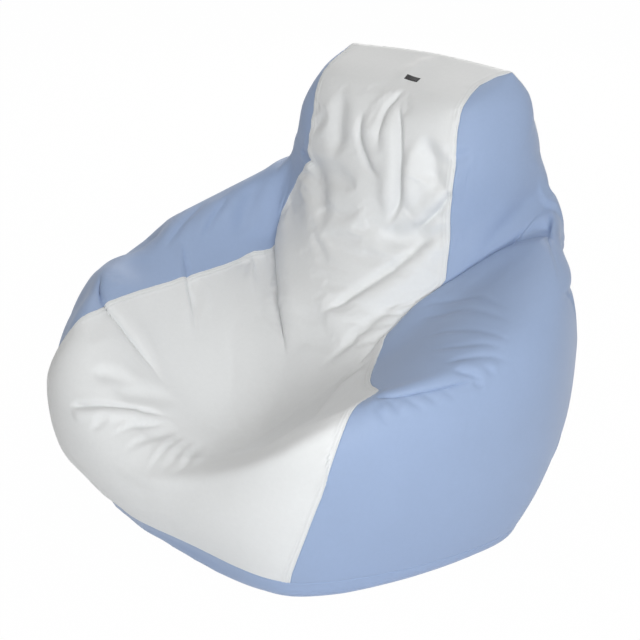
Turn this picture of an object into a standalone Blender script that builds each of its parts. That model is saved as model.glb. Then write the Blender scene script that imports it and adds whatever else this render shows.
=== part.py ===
"""A pear-shaped marine bean bag: a sewn cover of four panels and a base, with a zip, a liner and its filling.

The bag faces -Y and stands on its flat base at Z = 0, with +X on its left-hand side. Its skin is one loft
through eight rails, from the middle of the base up to the cross seam on the head, and every layer is cut
from that skin at its own depth. Sizes are in metres.
"""

import math

import bmesh
import bpy
import numpy as np
from mathutils import Matrix, Vector

# The bag's overall size
half_width = 0.49
half_depth = 0.46
height = 0.77

# The layers, from the outside in
cover_thickness = 0.0012
liner_thickness = 0.0008
layer_gap = 0.0004
seam_gap = 0.0004
seat_gap = 0.0003
tip_slack = 0.0024

# How finely the skin is cut into facets, between one rail and the next and from one station to the next
strip_columns = 5
side_columns = 4
rows_per_station = 2

# The zip in the back of the base seam
zip_half_length = 0.158
zip_slot = 0.0150
zip_recess = 0.0160
tape_width = 0.0150
tape_thickness = 0.0008
chain_half_width = 0.0033
chain_height = 0.0028
chain_slit = 0.0016
stop_length = 0.0035
stop_wall = 0.0004
chain_level = -(cover_thickness + seat_gap + tape_thickness / 2)

# The zip's slider
slider_length = 0.0160
slider_width = 0.0124
slider_nose_share = 0.80
slider_shoulder_share = 0.30
slider_wall = 0.0014
slider_clearance = 0.0003
slider_lip_width = 0.0010
slider_lip_height = 0.0006
slider_post_length = 0.0050
slider_end_gap = 0.0010
lug_length = 0.0100
lug_width = 0.0020
lug_bar = 0.0014
lug_opening = 0.0026

# The tab that pulls the slider
tab_length = 0.0300
tab_width = 0.0090
tab_tail_share = 0.72
tab_thickness = 0.0014
tab_window_length = 0.0068
tab_window_width = 0.0034
tab_bar = 0.0014
tab_corner = 0.0025
tab_corner_steps = 4

# The webbing handle on the back of the head
handle_height_share = 0.796
handle_half_span = 0.075
handle_rise = 0.032
handle_end_length = 0.034
handle_arch_steps = 12
handle_end_steps = 5
handle_rows = 4
webbing_width = 0.030
webbing_thickness = 0.0024
patch_margin = 0.006
patch_thickness = 0.0012
patch_steps = 6

# The small blank tab near the top of the white strip
tag_height_share = 0.955
tag_centre = 0.017
tag_length = 0.030
tag_height = 0.013
tag_thickness = 0.0008
tag_steps = 4

# The rails run from the hem over the side of the bag, its crest and its hollow to the ridge of the head.
# Each point is a share of the half width, of the half depth and of the height.
# The stations: hem, low, belly, shoulder, crest, lip, seat, hollow, lumbar, back, neck, head, crown, ridge.
rail_shares = {
    "front": (
        (0, -0.84, 0.058), (0, -0.90, 0.125), (0, -0.93, 0.195), (0, -0.90, 0.255), (0, -0.81, 0.28),
        (0, -0.67, 0.265), (0, -0.48, 0.26), (0, -0.28, 0.325), (0, -0.12, 0.435), (0, 0.045, 0.54),
        (0, 0.185, 0.65), (0, 0.295, 0.78), (0, 0.43, 0.925), (0, 0.73, 1.0),
    ),
    "front_side": (
        (0.43, -0.80, 0.058), (0.48, -0.815, 0.17), (0.535, -0.80, 0.305), (0.58, -0.75, 0.42),
        (0.58, -0.65, 0.48), (0.56, -0.52, 0.48), (0.46, -0.35, 0.46), (0.41, -0.17, 0.465),
        (0.38, 0, 0.487), (0.378, 0.175, 0.54), (0.363, 0.295, 0.636), (0.347, 0.337, 0.79),
        (0.32, 0.445, 0.93), (0.367, 0.72, 0.99),
    ),
    "side": (
        (0.857, 0, 0.058), (0.90, 0.043, 0.143), (0.925, 0.065, 0.26), (0.93, 0.087, 0.39),
        (0.91, 0.13, 0.49), (0.86, 0.22, 0.57), (0.78, 0.33, 0.625), (0.68, 0.42, 0.65),
        (0.57, 0.45, 0.635), (0.505, 0.49, 0.66), (0.495, 0.56, 0.74), (0.48, 0.62, 0.84),
        (0.44, 0.68, 0.93), (0.367, 0.72, 0.99),
    ),
    "back_side": (
        (0.43, 0.80, 0.058), (0.48, 0.87, 0.143), (0.51, 0.925, 0.25), (0.52, 0.935, 0.36),
        (0.52, 0.925, 0.47), (0.51, 0.90, 0.56), (0.50, 0.87, 0.625), (0.48, 0.855, 0.68),
        (0.465, 0.87, 0.72), (0.455, 0.885, 0.765), (0.44, 0.885, 0.825), (0.415, 0.86, 0.885),
        (0.39, 0.80, 0.94), (0.367, 0.72, 0.99),
    ),
    "back": (
        (0, 0.80, 0.058), (0, 0.89, 0.143), (0, 0.955, 0.25), (0, 0.985, 0.36), (0, 0.985, 0.48),
        (0, 0.975, 0.57), (0, 0.965, 0.65), (0, 0.955, 0.715), (0, 0.945, 0.77), (0, 0.935, 0.82),
        (0, 0.92, 0.87), (0, 0.88, 0.93), (0, 0.82, 0.975), (0, 0.73, 1.0),
    ),
    "far_side": (
        (-0.857, 0, 0.058), (-0.94, -0.04, 0.143), (-0.98, -0.065, 0.26), (-0.985, -0.045, 0.39),
        (-0.94, 0.02, 0.487), (-0.84, 0.13, 0.56), (-0.735, 0.26, 0.61), (-0.635, 0.37, 0.65),
        (-0.56, 0.445, 0.675), (-0.51, 0.51, 0.715), (-0.48, 0.565, 0.78), (-0.46, 0.60, 0.865),
        (-0.43, 0.63, 0.935), (-0.367, 0.72, 0.99),
    ),
    "front_far_side": (
        (-0.43, -0.80, 0.058), (-0.52, -0.87, 0.143), (-0.585, -0.905, 0.247), (-0.615, -0.885, 0.364),
        (-0.60, -0.81, 0.448), (-0.59, -0.67, 0.50), (-0.59, -0.435, 0.50), (-0.55, -0.17, 0.494),
        (-0.49, 0.11, 0.50), (-0.44, 0.28, 0.545), (-0.388, 0.38, 0.688), (-0.367, 0.413, 0.81),
        (-0.357, 0.50, 0.935), (-0.367, 0.72, 0.99),
    ),
}
rail_shares["back_far_side"] = tuple((-x, y, z) for x, y, z in rail_shares["back_side"])
rail_order = (
    "front", "front_side", "side", "back_side", "back", "back_far_side", "far_side", "front_far_side",
)

# Inside the hem the base has two more rings, each a share of the hem's, flat on the floor
base_ring_shares = (0.55, 0.93)

# How far the hem rounds the corner at each rail, where one is the full curve of the panels above it.
# The hem is straight between the two back corners, because the zip runs there.
hem_round_shares = (1, 0.9, 0.8, 0, 0.7, 0, 0.8, 0.9)

# Places round the bag, counted in rails, and up it, counted in stations
rails = len(rail_order)
back_rail = rail_order.index("back")
last_station = len(rail_shares["front"]) - 1
first_station = -len(base_ring_shares)
segment_columns = (strip_columns, side_columns, side_columns, strip_columns) * 2
round_stations = 2
tip_station_share = 0.995
liner_tip_station_share = 0.990
filling_tip_station_share = 0.978
seam_station_share = 0.9997
probe_share = 0.001
weld_distance = 0.00001
smooth_angle = math.radians(50)


def colour(name, red, green, blue, roughness, metallic=0):
    """A plain finish in linear colour."""
    finish = bpy.data.materials.new(name)
    finish.use_nodes = True
    shader = finish.node_tree.nodes["Principled BSDF"]
    shader.inputs["Base Color"].default_value = (red, green, blue, 1)
    shader.inputs["Roughness"].default_value = roughness
    shader.inputs["Metallic"].default_value = metallic
    return finish


def hermite(start, end, leave, arrive, share):
    """The cubic from start to end with these end slopes."""
    square, cube = share**2, share**3
    return (
        (2 * cube - 3 * square + 1) * start
        + (cube - 2 * square + share) * leave
        + (3 * square - 2 * cube) * end
        + (cube - square) * arrive
    )


def rail_points():
    """The rails in metres, with the base's rings before the hem, as rails by stations."""
    size = np.array((half_width, half_depth, height))
    points = np.array([rail_shares[name] for name in rail_order]) * size
    flat = np.array((1, 1, 0))
    rings = [points[:, 0] * share * flat for share in base_ring_shares]
    return np.concatenate([np.stack(rings, axis=1), points], axis=1)


def skin(around, up):
    """The outer skin at each place round the bag and each station up it."""
    points = rail_points()
    station = np.asarray(up, float) - first_station
    index = np.clip(np.floor(station).astype(int), 0, points.shape[1] - 2)
    share = (station - index)[None, :, None]
    before = 2 * points[:, :1] - points[:, 1:2]
    after = 2 * points[:, -1:] - points[:, -2:-1]
    run = np.concatenate([before, points, after], axis=1)
    a, b, c, d = (run[:, index + k] for k in range(4))
    rings = hermite(b, c, (c - a) / 2, (d - b) / 2, share)

    # Slopes round the ring, weighted so that a short side next to a long one doesn't bulge
    step = np.roll(rings, -1, axis=0) - rings
    chord = np.linalg.norm(step, axis=2, keepdims=True) / half_width
    chord = np.sqrt(chord + probe_share)
    chord_before = np.roll(chord, 1, axis=0)
    step_before = np.roll(step / chord, 1, axis=0)
    slope = (step / chord * chord_before + step_before * chord) / (chord + chord_before)
    rise = np.clip(np.asarray(up, float) / round_stations, 0, 1)
    rise = rise * rise * (3 - 2 * rise)
    corner = np.array(hem_round_shares)[:, None]
    slope = slope * (corner + (1 - corner) * rise[None, :])[:, :, None]

    around = np.asarray(around, float)
    rail = np.floor(around).astype(int) % rails
    following = (rail + 1) % rails
    share = (around - np.floor(around))[:, None, None]
    leave, arrive = slope[rail] * chord[rail], slope[following] * chord[rail]
    surface = hermite(rings[rail], rings[following], leave, arrive, share)
    surface[:, :, 2] = np.maximum(surface[:, :, 2], 0)
    return surface


def outward(around, up):
    """The skin's unit normals, pointing out of the bag."""
    around, up = np.asarray(around, float), np.asarray(up, float)
    above = np.minimum(up + probe_share, last_station * seam_station_share)
    below = np.maximum(above - 2 * probe_share, first_station)
    across = skin(around + probe_share, above) - skin(around - probe_share, above)
    along = skin(around, above) - skin(around, below)
    normal = np.cross(across, along)
    return normal / np.linalg.norm(normal, axis=2, keepdims=True)


def recess(around, up):
    """How far the inner layers stand back behind the zip."""
    aside = np.clip(np.abs(np.asarray(around, float) - back_rail) * 2 - 1, 0, 1)[:, None]
    away = np.clip(np.abs(np.asarray(up, float)), 0, 1)[None, :]
    return zip_recess * (1 - aside) * (1 - away)


def layer(around, up, depth, behind_zip=False):
    """The skin moved in by a depth."""
    inset = np.full((len(around), len(up)), depth)
    if behind_zip:
        inset = inset + recess(around, up)
    points = skin(around, up) - outward(around, up) * inset[:, :, None]
    points[:, :, 2] = np.maximum(points[:, :, 2], depth)
    return points


def columns(start, end):
    """Places round the bag from one rail to another, at the facets' spacing."""
    places = []
    for rail in range(start, end):
        count = segment_columns[rail % rails]
        places += [rail + k / count for k in range(count)]
    return places + [end]


def stations(start, end):
    """Stations up the bag, at the facets' spacing."""
    count = (end - start) * rows_per_station
    return [start + k / rows_per_station for k in range(count + 1)]


base_stations = [first_station] + stations(-1, 0)
body_stations = stations(0, last_station)


def toward(points, others, distance):
    """Points moved by a distance toward others."""
    step = others - points
    return points + step / np.linalg.norm(step, axis=-1, keepdims=True) * distance


def slot_half(around):
    """Half the slot for the zip in the base seam, which narrows to the plain seam at the back corners."""
    aside = np.abs(np.asarray(around, float) - back_rail)
    open_share = np.clip((1 - aside) * strip_columns, 0, 1)
    return ((seam_gap + (zip_slot - seam_gap) * open_share) / 2)[:, None]


def add_object(name, bm, finish, parent=None):
    """One object from a bmesh, with its normals set and its faces shaded."""
    bmesh.ops.recalc_face_normals(bm, faces=bm.faces[:])
    mesh = bpy.data.meshes.new(name)
    bm.to_mesh(mesh)
    bm.free()
    mesh.shade_smooth()
    mesh.set_sharp_from_angle(angle=smooth_angle)
    mesh.materials.append(finish)
    item = bpy.data.objects.new(name, mesh)
    bpy.context.scene.collection.objects.link(item)
    item.parent = parent
    return item


def add_net(bm, points, closed=False):
    """Facets over a net of points, each cell cut along the same diagonal."""
    verts = [[bm.verts.new(point) for point in column] for column in points]
    count = len(verts)
    for i in range(count if closed else count - 1):
        here, there = verts[i], verts[(i + 1) % count]
        for j in range(len(here) - 1):
            bm.faces.new((here[j], there[j], there[j + 1]))
            bm.faces.new((here[j], there[j + 1], here[j + 1]))
    return verts


def border(verts):
    """The vertices round the edge of an open net, in order."""
    low = [column[0] for column in verts]
    high = [column[-1] for column in verts]
    return low + verts[-1][1:-1] + high[::-1] + verts[0][-2:0:-1]


def join_borders(bm, first, second):
    """A strip of faces between two rings of vertices."""
    for k in range(len(first)):
        n = (k + 1) % len(first)
        bm.faces.new((first[k], second[k], second[n]))
        bm.faces.new((first[k], second[n], first[n]))


def add_sheet(name, outer, inner, finish, parent=None):
    """A piece of cloth between two open nets."""
    bm = bmesh.new()
    front, back = add_net(bm, outer), add_net(bm, inner)
    join_borders(bm, border(front), border(back))
    return add_object(name, bm, finish, parent)


def add_dish(name, outer, inner, finish):
    """A base between two nets that close round it, each with a flat middle."""
    bm = bmesh.new()
    front, back = add_net(bm, outer, closed=True), add_net(bm, inner, closed=True)
    for verts in (front, back):
        bm.faces.new([column[0] for column in verts])
    join_borders(bm, [column[-1] for column in front], [column[-1] for column in back])
    return add_object(name, bm, finish)


def from_strip(place):
    """How many rails a place lies from the middle of the strip nearest to it."""
    return abs((place + 2) % 4 - 2)


def corner_slack(place):
    """How much deeper the inner layers lie at the corners of the head, where the sides end in a tip."""
    return tip_slack * min(max(from_strip(place) * strip_columns - strip_columns + 1, 0), 1)


def panel_nets(start, end, depth, thickness, slot=True, behind_zip=False, pointed=False):
    """The outer and inner nets of an upright panel, drawn in from its seams by half a gap.

    The strips end along the ridge of the head, and a side ends just short of it in a blunt tip.
    """
    around = columns(start, end)
    nets = []
    for inset in (depth, depth + thickness):
        net = layer(around, body_stations, inset, behind_zip)
        tip_share = liner_tip_station_share if behind_zip else tip_station_share
        slack = tip_slack if behind_zip else 0
        tip = layer(around, [last_station * tip_share], inset + slack)[:, 0]
        ridge = skin(around, [last_station * seam_station_share])[:, 0]
        for k, place in enumerate(around):
            slack = corner_slack(place) if behind_zip else 0
            below = np.array((0, 0, inset + slack))
            net[k, -1] = tip[k] if pointed or from_strip(place) > 1 else ridge[k] - below
        half = slot_half(around) if slot else seam_gap / 2
        net[:, 0] = toward(net[:, 0], net[:, 1], half)
        net[0] = toward(net[0], net[1], seam_gap / 2)
        net[-1] = toward(net[-1], net[-2], seam_gap / 2)
        nets.append(net)
    return nets


def base_nets(depth, thickness, slot=True, behind_zip=False):
    """The outer and inner nets of a base."""
    around = columns(0, rails)[:-1]
    nets = []
    for inset in (depth, depth + thickness):
        net = layer(around, base_stations, inset, behind_zip)
        half = slot_half(around) if slot else seam_gap / 2
        net[:, -1] = toward(net[:, -1], net[:, -2], half)
        nets.append(net)
    return nets


def add_filling(name, depth, finish):
    """The closed heap of beads that the liner holds."""
    around = columns(0, rails)[:-1]
    up = base_stations[:-1] + body_stations
    net = layer(around, up, depth, behind_zip=True)
    tip = layer(around, [last_station * filling_tip_station_share], depth + 2 * tip_slack)[:, 0]
    ridge = skin(around, [last_station])[:, 0]
    for k, place in enumerate(around):
        below = np.array((0, 0, depth + 2 * corner_slack(place)))
        net[k, -1] = tip[k] if from_strip(place) > 1 else ridge[k] - below
    bm = bmesh.new()
    verts = add_net(bm, net, closed=True)
    bm.faces.new([column[0] for column in verts])
    bmesh.ops.remove_doubles(bm, verts=[column[-1] for column in verts], dist=weld_distance)
    bmesh.ops.holes_fill(bm, edges=[edge for edge in bm.edges if edge.is_boundary])
    return add_object(name, bm, finish)


def facet_point(net, around, up, place, station):
    """The point of a net's facets at a place round the bag and a station up it."""
    i = min(max(int(np.searchsorted(around, place, side="right")) - 1, 0), len(around) - 2)
    j = min(max(int(np.searchsorted(up, station, side="right")) - 1, 0), len(up) - 2)
    across = (place - around[i]) / (around[i + 1] - around[i])
    along = (station - up[j]) / (up[j + 1] - up[j])
    low, corner = net[i, j], net[i + 1, j + 1]
    if across > along:
        side = net[i + 1, j]
        return low + (side - low) * across + (corner - side) * along
    side = net[i, j + 1]
    return low + (side - low) * along + (corner - side) * across


def on_cover(start, xs, heights, station, lift):
    """A net of points lying on a strip's facets: xs across the strip, heights along it from a station.

    The lift is the height of each column of points over the cloth.
    """
    around = columns(start, start + 2)
    net = panel_nets(start, start + 2, 0, cover_thickness)[0]
    ring = skin(around, [station])[:, 0]
    order = np.argsort(ring[:, 0])
    places = np.interp(xs, ring[order, 0], np.array(around)[order])
    rise = np.linalg.norm(skin([start + 1], [station + 1 / 2]) - skin([start + 1], [station - 1 / 2]))
    ups = station + np.asarray(heights) / rise
    points = np.array([[facet_point(net, around, body_stations, place, up) for up in ups] for place in places])
    return points + outward(places, ups) * np.asarray(lift)[:, None, None]


def add_plate(bm, outline, low, high):
    """A flat plate of one outline, from one height to another."""
    face = bm.faces.new([bm.verts.new((x, y, low)) for x, y in outline])
    raised = bmesh.ops.extrude_face_region(bm, geom=[face])["geom"]
    lifted = [item for item in raised if isinstance(item, bmesh.types.BMVert)]
    bmesh.ops.translate(bm, verts=lifted, vec=(0, 0, high - low))


def add_box(bm, low, high):
    """A box between two corners."""
    low, high = Vector(low), Vector(high)
    place = Matrix.Translation((low + high) / 2) @ Matrix.Diagonal((*(high - low), 1))
    bmesh.ops.create_cube(bm, size=1, matrix=place)


def combine(item, tool, operation):
    """An exact boolean with a tool that isn't a piece itself."""
    step = item.modifiers.new(tool.name, "BOOLEAN")
    step.operation = operation
    step.object = tool
    tool.hide_render = True
    tool.display_type = "WIRE"


def add_tool(name, finish, parent, low, high):
    """A box that a boolean adds or takes away."""
    bm = bmesh.new()
    add_box(bm, low, high)
    return add_object(name, bm, finish, parent)


def add_cover(white, blue):
    """The white strip in two parts, the two coloured sides and the base."""
    spans = (
        ("front_panel", -1, white, False),
        ("right_side_panel", 1, blue, True),
        ("back_panel", 3, white, False),
        ("left_side_panel", 5, blue, True),
    )
    for name, start, finish, pointed in spans:
        nets = panel_nets(start, start + 2, 0, cover_thickness, pointed=pointed)
        add_sheet(name, *nets, finish)
    add_dish("base_panel", *base_nets(0, cover_thickness), blue)


def add_liner(finish):
    """The inner bag, which is sewn from two halves and a base of its own."""
    depth = cover_thickness + layer_gap
    for name, start in (("inner_liner_front", -2), ("inner_liner_back", 2)):
        nets = panel_nets(start, start + 4, depth, liner_thickness, slot=False, behind_zip=True)
        add_sheet(name, *nets, finish)
    nets = base_nets(depth, liner_thickness, slot=False, behind_zip=True)
    add_dish("inner_liner_base", *nets, finish)


def zip_nets():
    """The nets of the back panel and of the base along the zip."""
    first = columns(0, rails).index(back_rail - 1)
    panel = panel_nets(back_rail - 1, back_rail + 1, 0, cover_thickness)
    base = base_nets(0, cover_thickness)
    return panel, [net[first : first + len(panel[0])] for net in base]


def zip_place():
    """The middle of the zip: X runs along it to the sitter's right, Y up the bag and Z out of it."""
    panel, base = zip_nets()
    upper, lower = Vector(panel[0][strip_columns, 0]), Vector(base[0][strip_columns, -1])
    along = Vector((-1, 0, 0))
    up = (upper - lower).normalized()
    turn = Matrix((along, up, along.cross(up))).transposed().to_4x4()
    return Matrix.Translation((upper + lower) / 2) @ turn


def add_empty(name, parent=None, location=(0, 0, 0)):
    """A frame that carries other objects."""
    empty = bpy.data.objects.new(name, None)
    bpy.context.scene.collection.objects.link(empty)
    empty.parent = parent
    empty.location = location
    return empty


def add_tapes(finish):
    """The two tapes, one sewn under the back panel's hem and one under the base's edge."""
    panel, base = zip_nets()
    place = np.array(zip_place())
    bare = zip_slot / 2 - chain_half_width - seat_gap
    for name, side, edge, next_row in (
        ("zip_tape_upper", 1, panel[1][1:-1, 0], panel[1][1:-1, 1]),
        ("zip_tape_lower", -1, base[1][1:-1, -1], base[1][1:-1, -2]),
    ):
        end = toward(edge, next_row, tape_width - bare)
        inward = np.cross(np.gradient(edge, axis=0), end - edge) * -side
        inward = inward / np.linalg.norm(inward, axis=1, keepdims=True)
        rows = []
        for depth, level in ((seat_gap, tape_thickness / 2), (seat_gap + tape_thickness, -tape_thickness / 2)):
            bead = [(-x, side * (chain_half_width + seat_gap), chain_level + level) for x in edge[:, 0]]
            bead = np.array(bead) @ place[:3, :3].T + place[:3, 3]
            rows.append(np.stack([bead, edge + inward * depth, end + inward * depth], axis=1))
        add_sheet(name, *rows, finish)


def add_chain(axis, finish, metal):
    """The two rows of the zip's chain and the stops at their ends."""
    half_height = chain_height / 2
    for name, side in (("zip_chain_upper", 1), ("zip_chain_lower", -1)):
        bm = bmesh.new()
        edges = sorted((side * chain_slit / 2, side * chain_half_width))
        add_box(
            bm,
            (-zip_half_length, edges[0], chain_level - half_height),
            (zip_half_length, edges[1], chain_level + half_height),
        )
        bevelled = [edge for edge in bm.edges if abs(edge.verts[0].co.x - edge.verts[1].co.x) > zip_half_length]
        bmesh.ops.bevel(bm, geom=bevelled, offset=chain_height / 5, segments=1, affect="EDGES")
        add_object(name, bm, finish, axis)
    inner = zip_half_length + seat_gap
    outer = inner + stop_length
    low, high = chain_level - half_height - stop_wall, chain_level + half_height + stop_wall
    stops = (
        ("zip_top_stop_upper", -outer, chain_slit / 2, -inner, chain_half_width),
        ("zip_top_stop_lower", -outer, -chain_half_width, -inner, -chain_slit / 2),
        ("zip_bottom_stop", inner, -chain_half_width, outer, chain_half_width),
    )
    for name, x_low, y_low, x_high, y_high in stops:
        bm = bmesh.new()
        add_box(bm, (x_low, y_low, low), (x_high, y_high, high))
        bmesh.ops.bevel(bm, geom=bm.edges[:], offset=stop_wall, segments=1, affect="EDGES")
        add_object(name, bm, metal, axis)


def add_slider(axis, metal):
    """The slider: two plates joined by a post between the chain's rows, with lips and a lug over the top."""
    start = -(zip_half_length - slider_length / 2 - slider_end_gap)
    carrier = add_empty("slider_axis", axis, (start, 0, chain_level))

    half, width = slider_length / 2, slider_width / 2
    shoulder = -half + slider_length * slider_shoulder_share
    nose = width * slider_nose_share
    outline = (
        (-half, width - slider_lip_width), (-half, -width + slider_lip_width), (shoulder, -width),
        (half, -nose), (half, nose), (shoulder, width),
    )
    face = chain_height / 2 + slider_clearance
    bm = bmesh.new()
    add_plate(bm, outline, face, face + slider_wall)
    slider = add_object("zip_slider", bm, metal, carrier)

    bm = bmesh.new()
    add_plate(bm, outline, -face - slider_wall, -face)
    lower = add_object("slider_lower_plate", bm, metal, carrier)
    sunk = slider_wall / 2
    post = chain_slit / 2 - slider_clearance
    combine(slider, add_tool("slider_post", metal, carrier,
            (-half, -post, -face - sunk), (-half + slider_post_length, post, face + sunk)), "UNION")
    combine(slider, lower, "UNION")
    for side in (1, -1):
        for level in (1, -1):
            ys = sorted((side * (nose - slider_lip_width), side * nose))
            zs = sorted((level * (face - slider_lip_height), level * (face + sunk)))
            name = f"slider_lip_{'upper' if side > 0 else 'lower'}_{'out' if level > 0 else 'in'}"
            combine(slider, add_tool(name, metal, carrier,
                    (shoulder, ys[0], zs[0]), (half - sunk, ys[1], zs[1])), "UNION")
    top = face + slider_wall
    foot = top - sunk
    lug, side = lug_length / 2, lug_width / 2
    arch = add_tool("slider_lug", metal, carrier, (-lug, -side, foot), (lug, side, top + lug_opening + lug_bar))
    combine(arch, add_tool("slider_lug_opening", metal, carrier,
            (-lug + lug_bar, -width, foot - sunk), (lug - lug_bar, width, top + lug_opening)), "DIFFERENCE")
    combine(slider, arch, "UNION")
    return carrier, top + lug_opening / 2


def add_tab(carrier, level, metal):
    """The pull tab, which turns on its own end bar under the slider's lug."""
    hinge = add_empty("tab_axis", carrier, (0, 0, level))
    front, tail = tab_width / 2, tab_width / 2 * tab_tail_share
    near, far = -tab_bar / 2, tab_length - tab_bar / 2
    corner = [
        (math.cos(angle) * tab_corner, math.sin(angle) * tab_corner)
        for angle in (k / tab_corner_steps * math.pi / 2 for k in range(tab_corner_steps + 1))
    ]
    outline = [(near, -front)] + [(far - tab_corner + x, -tail + tab_corner - y) for x, y in reversed(corner)]
    outline += [(far - tab_corner + x, tail - tab_corner + y) for x, y in corner] + [(near, front)]
    bm = bmesh.new()
    add_plate(bm, outline, -tab_thickness / 2, tab_thickness / 2)
    tab = add_object("zip_pull_tab", bm, metal, hinge)
    window = add_tool("tab_window", metal, hinge,
                      (tab_bar / 2, -tab_window_width / 2, -tab_thickness),
                      (tab_bar / 2 + tab_window_length, tab_window_width / 2, tab_thickness))
    combine(tab, window, "DIFFERENCE")


def add_handle(webbing, cloth):
    """The webbing handle, whose flat ends are sewn through a patch each to the back of the head."""
    rows = np.linspace(-webbing_width / 2, webbing_width / 2, handle_rows + 1)
    arch = np.linspace(-handle_half_span, handle_half_span, handle_arch_steps + 1)
    end = np.linspace(handle_half_span, handle_half_span + handle_end_length, handle_end_steps + 1)
    xs = np.concatenate([-end[:0:-1], arch, end[1:]])
    lift = np.where(np.abs(xs) < handle_half_span, (1 + np.cos(xs / handle_half_span * math.pi)) / 2, 0)
    lift = np.sqrt(lift) * handle_rise + patch_thickness + 2 * seat_gap
    start, station = back_rail - 1, handle_height_share * last_station
    outer = on_cover(start, xs, rows, station, lift + webbing_thickness)
    inner = on_cover(start, xs, rows, station, lift)
    add_sheet("carry_handle", outer, inner, webbing)
    reach = webbing_width / 2 + patch_margin
    rows = np.linspace(-reach, reach, patch_steps + 1)
    for name, side in (("handle_patch_left", 1), ("handle_patch_right", -1)):
        xs = side * np.linspace(handle_half_span - patch_margin, handle_half_span + handle_end_length + patch_margin,
                                patch_steps + 1)
        flat = np.zeros(len(xs))
        outer = on_cover(start, xs, rows, station, flat + seat_gap + patch_thickness)
        inner = on_cover(start, xs, rows, station, flat + seat_gap)
        add_sheet(name, outer, inner, cloth)


def add_tag(finish):
    """The small blank tab sewn flat near the top of the white strip."""
    xs = tag_centre + np.linspace(-tag_length / 2, tag_length / 2, tag_steps + 1)
    rows = np.linspace(-tag_height / 2, tag_height / 2, 3)
    flat = np.zeros(len(xs))
    station = tag_height_share * last_station
    outer = on_cover(-1, xs, rows, station, flat + seat_gap + tag_thickness)
    inner = on_cover(-1, xs, rows, station, flat + seat_gap)
    add_sheet("blank_tab", outer, inner, finish)


def main():
    for item in list(bpy.data.objects):
        bpy.data.objects.remove(item, do_unlink=True)

    white = colour("white marine fabric", 0.79, 0.81, 0.82, 0.62)
    blue = colour("pale blue marine fabric", 0.33, 0.43, 0.63, 0.62)
    lining = colour("liner cloth", 0.72, 0.72, 0.70, 0.80)
    beads = colour("foam beads", 0.85, 0.85, 0.84, 0.90)
    tape = colour("zip tape", 0.62, 0.66, 0.72, 0.75)
    chain = colour("moulded zip chain", 0.70, 0.73, 0.76, 0.40)
    steel = colour("stainless steel", 0.60, 0.60, 0.60, 0.28, 1)
    strap = colour("webbing", 0.70, 0.72, 0.74, 0.70)
    dark = colour("dark woven tab", 0.012, 0.012, 0.014, 0.60)

    add_cover(white, blue)
    add_liner(lining)
    add_filling("bead_filling", cover_thickness + liner_thickness + 2 * layer_gap, beads)
    add_tapes(tape)
    axis = add_empty("zip_axis")
    axis.matrix_world = zip_place()
    add_chain(axis, chain, steel)
    carrier, level = add_slider(axis, steel)
    add_tab(carrier, level, steel)
    add_handle(strap, white)
    add_tag(dark)


main()
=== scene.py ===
"""The looks of a marine bean bag: its sewn cover with folds and stitches, a zip, a handle and a plain stage.

Every piece of cloth is cut from one map of the cover, which holds a point for each place round the bag and each
station up it. The map is the lofted form, then the folds drawn on it, then what a short cloth simulation
does to them. Sizes are in metres; the bag faces -Y and stands on Z = 0.
"""

import math

import bmesh
import bpy
import numpy as np
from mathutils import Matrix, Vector


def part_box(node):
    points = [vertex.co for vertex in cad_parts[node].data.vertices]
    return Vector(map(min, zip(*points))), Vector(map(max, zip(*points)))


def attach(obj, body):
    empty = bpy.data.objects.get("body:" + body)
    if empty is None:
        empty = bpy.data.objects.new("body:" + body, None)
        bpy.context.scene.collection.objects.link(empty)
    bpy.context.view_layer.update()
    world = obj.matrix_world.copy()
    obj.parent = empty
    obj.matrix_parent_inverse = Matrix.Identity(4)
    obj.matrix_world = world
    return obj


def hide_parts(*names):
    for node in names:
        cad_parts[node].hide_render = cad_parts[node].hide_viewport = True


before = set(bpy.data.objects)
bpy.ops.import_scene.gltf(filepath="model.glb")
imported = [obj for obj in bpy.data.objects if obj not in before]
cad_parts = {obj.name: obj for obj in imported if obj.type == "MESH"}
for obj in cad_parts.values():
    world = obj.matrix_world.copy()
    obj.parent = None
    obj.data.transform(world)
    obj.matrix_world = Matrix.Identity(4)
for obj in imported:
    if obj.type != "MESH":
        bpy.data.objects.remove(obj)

bl_info = {
    "name": "Marine bean bag",
    "version": (1, 0, 0),
    "blender": (4, 5, 0),
    "location": "View3D > Sidebar > Bean bag",
    "description": "Dresses a bean bag: cover, seams, zip, handle and stage",
    "category": "Object",
}

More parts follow.
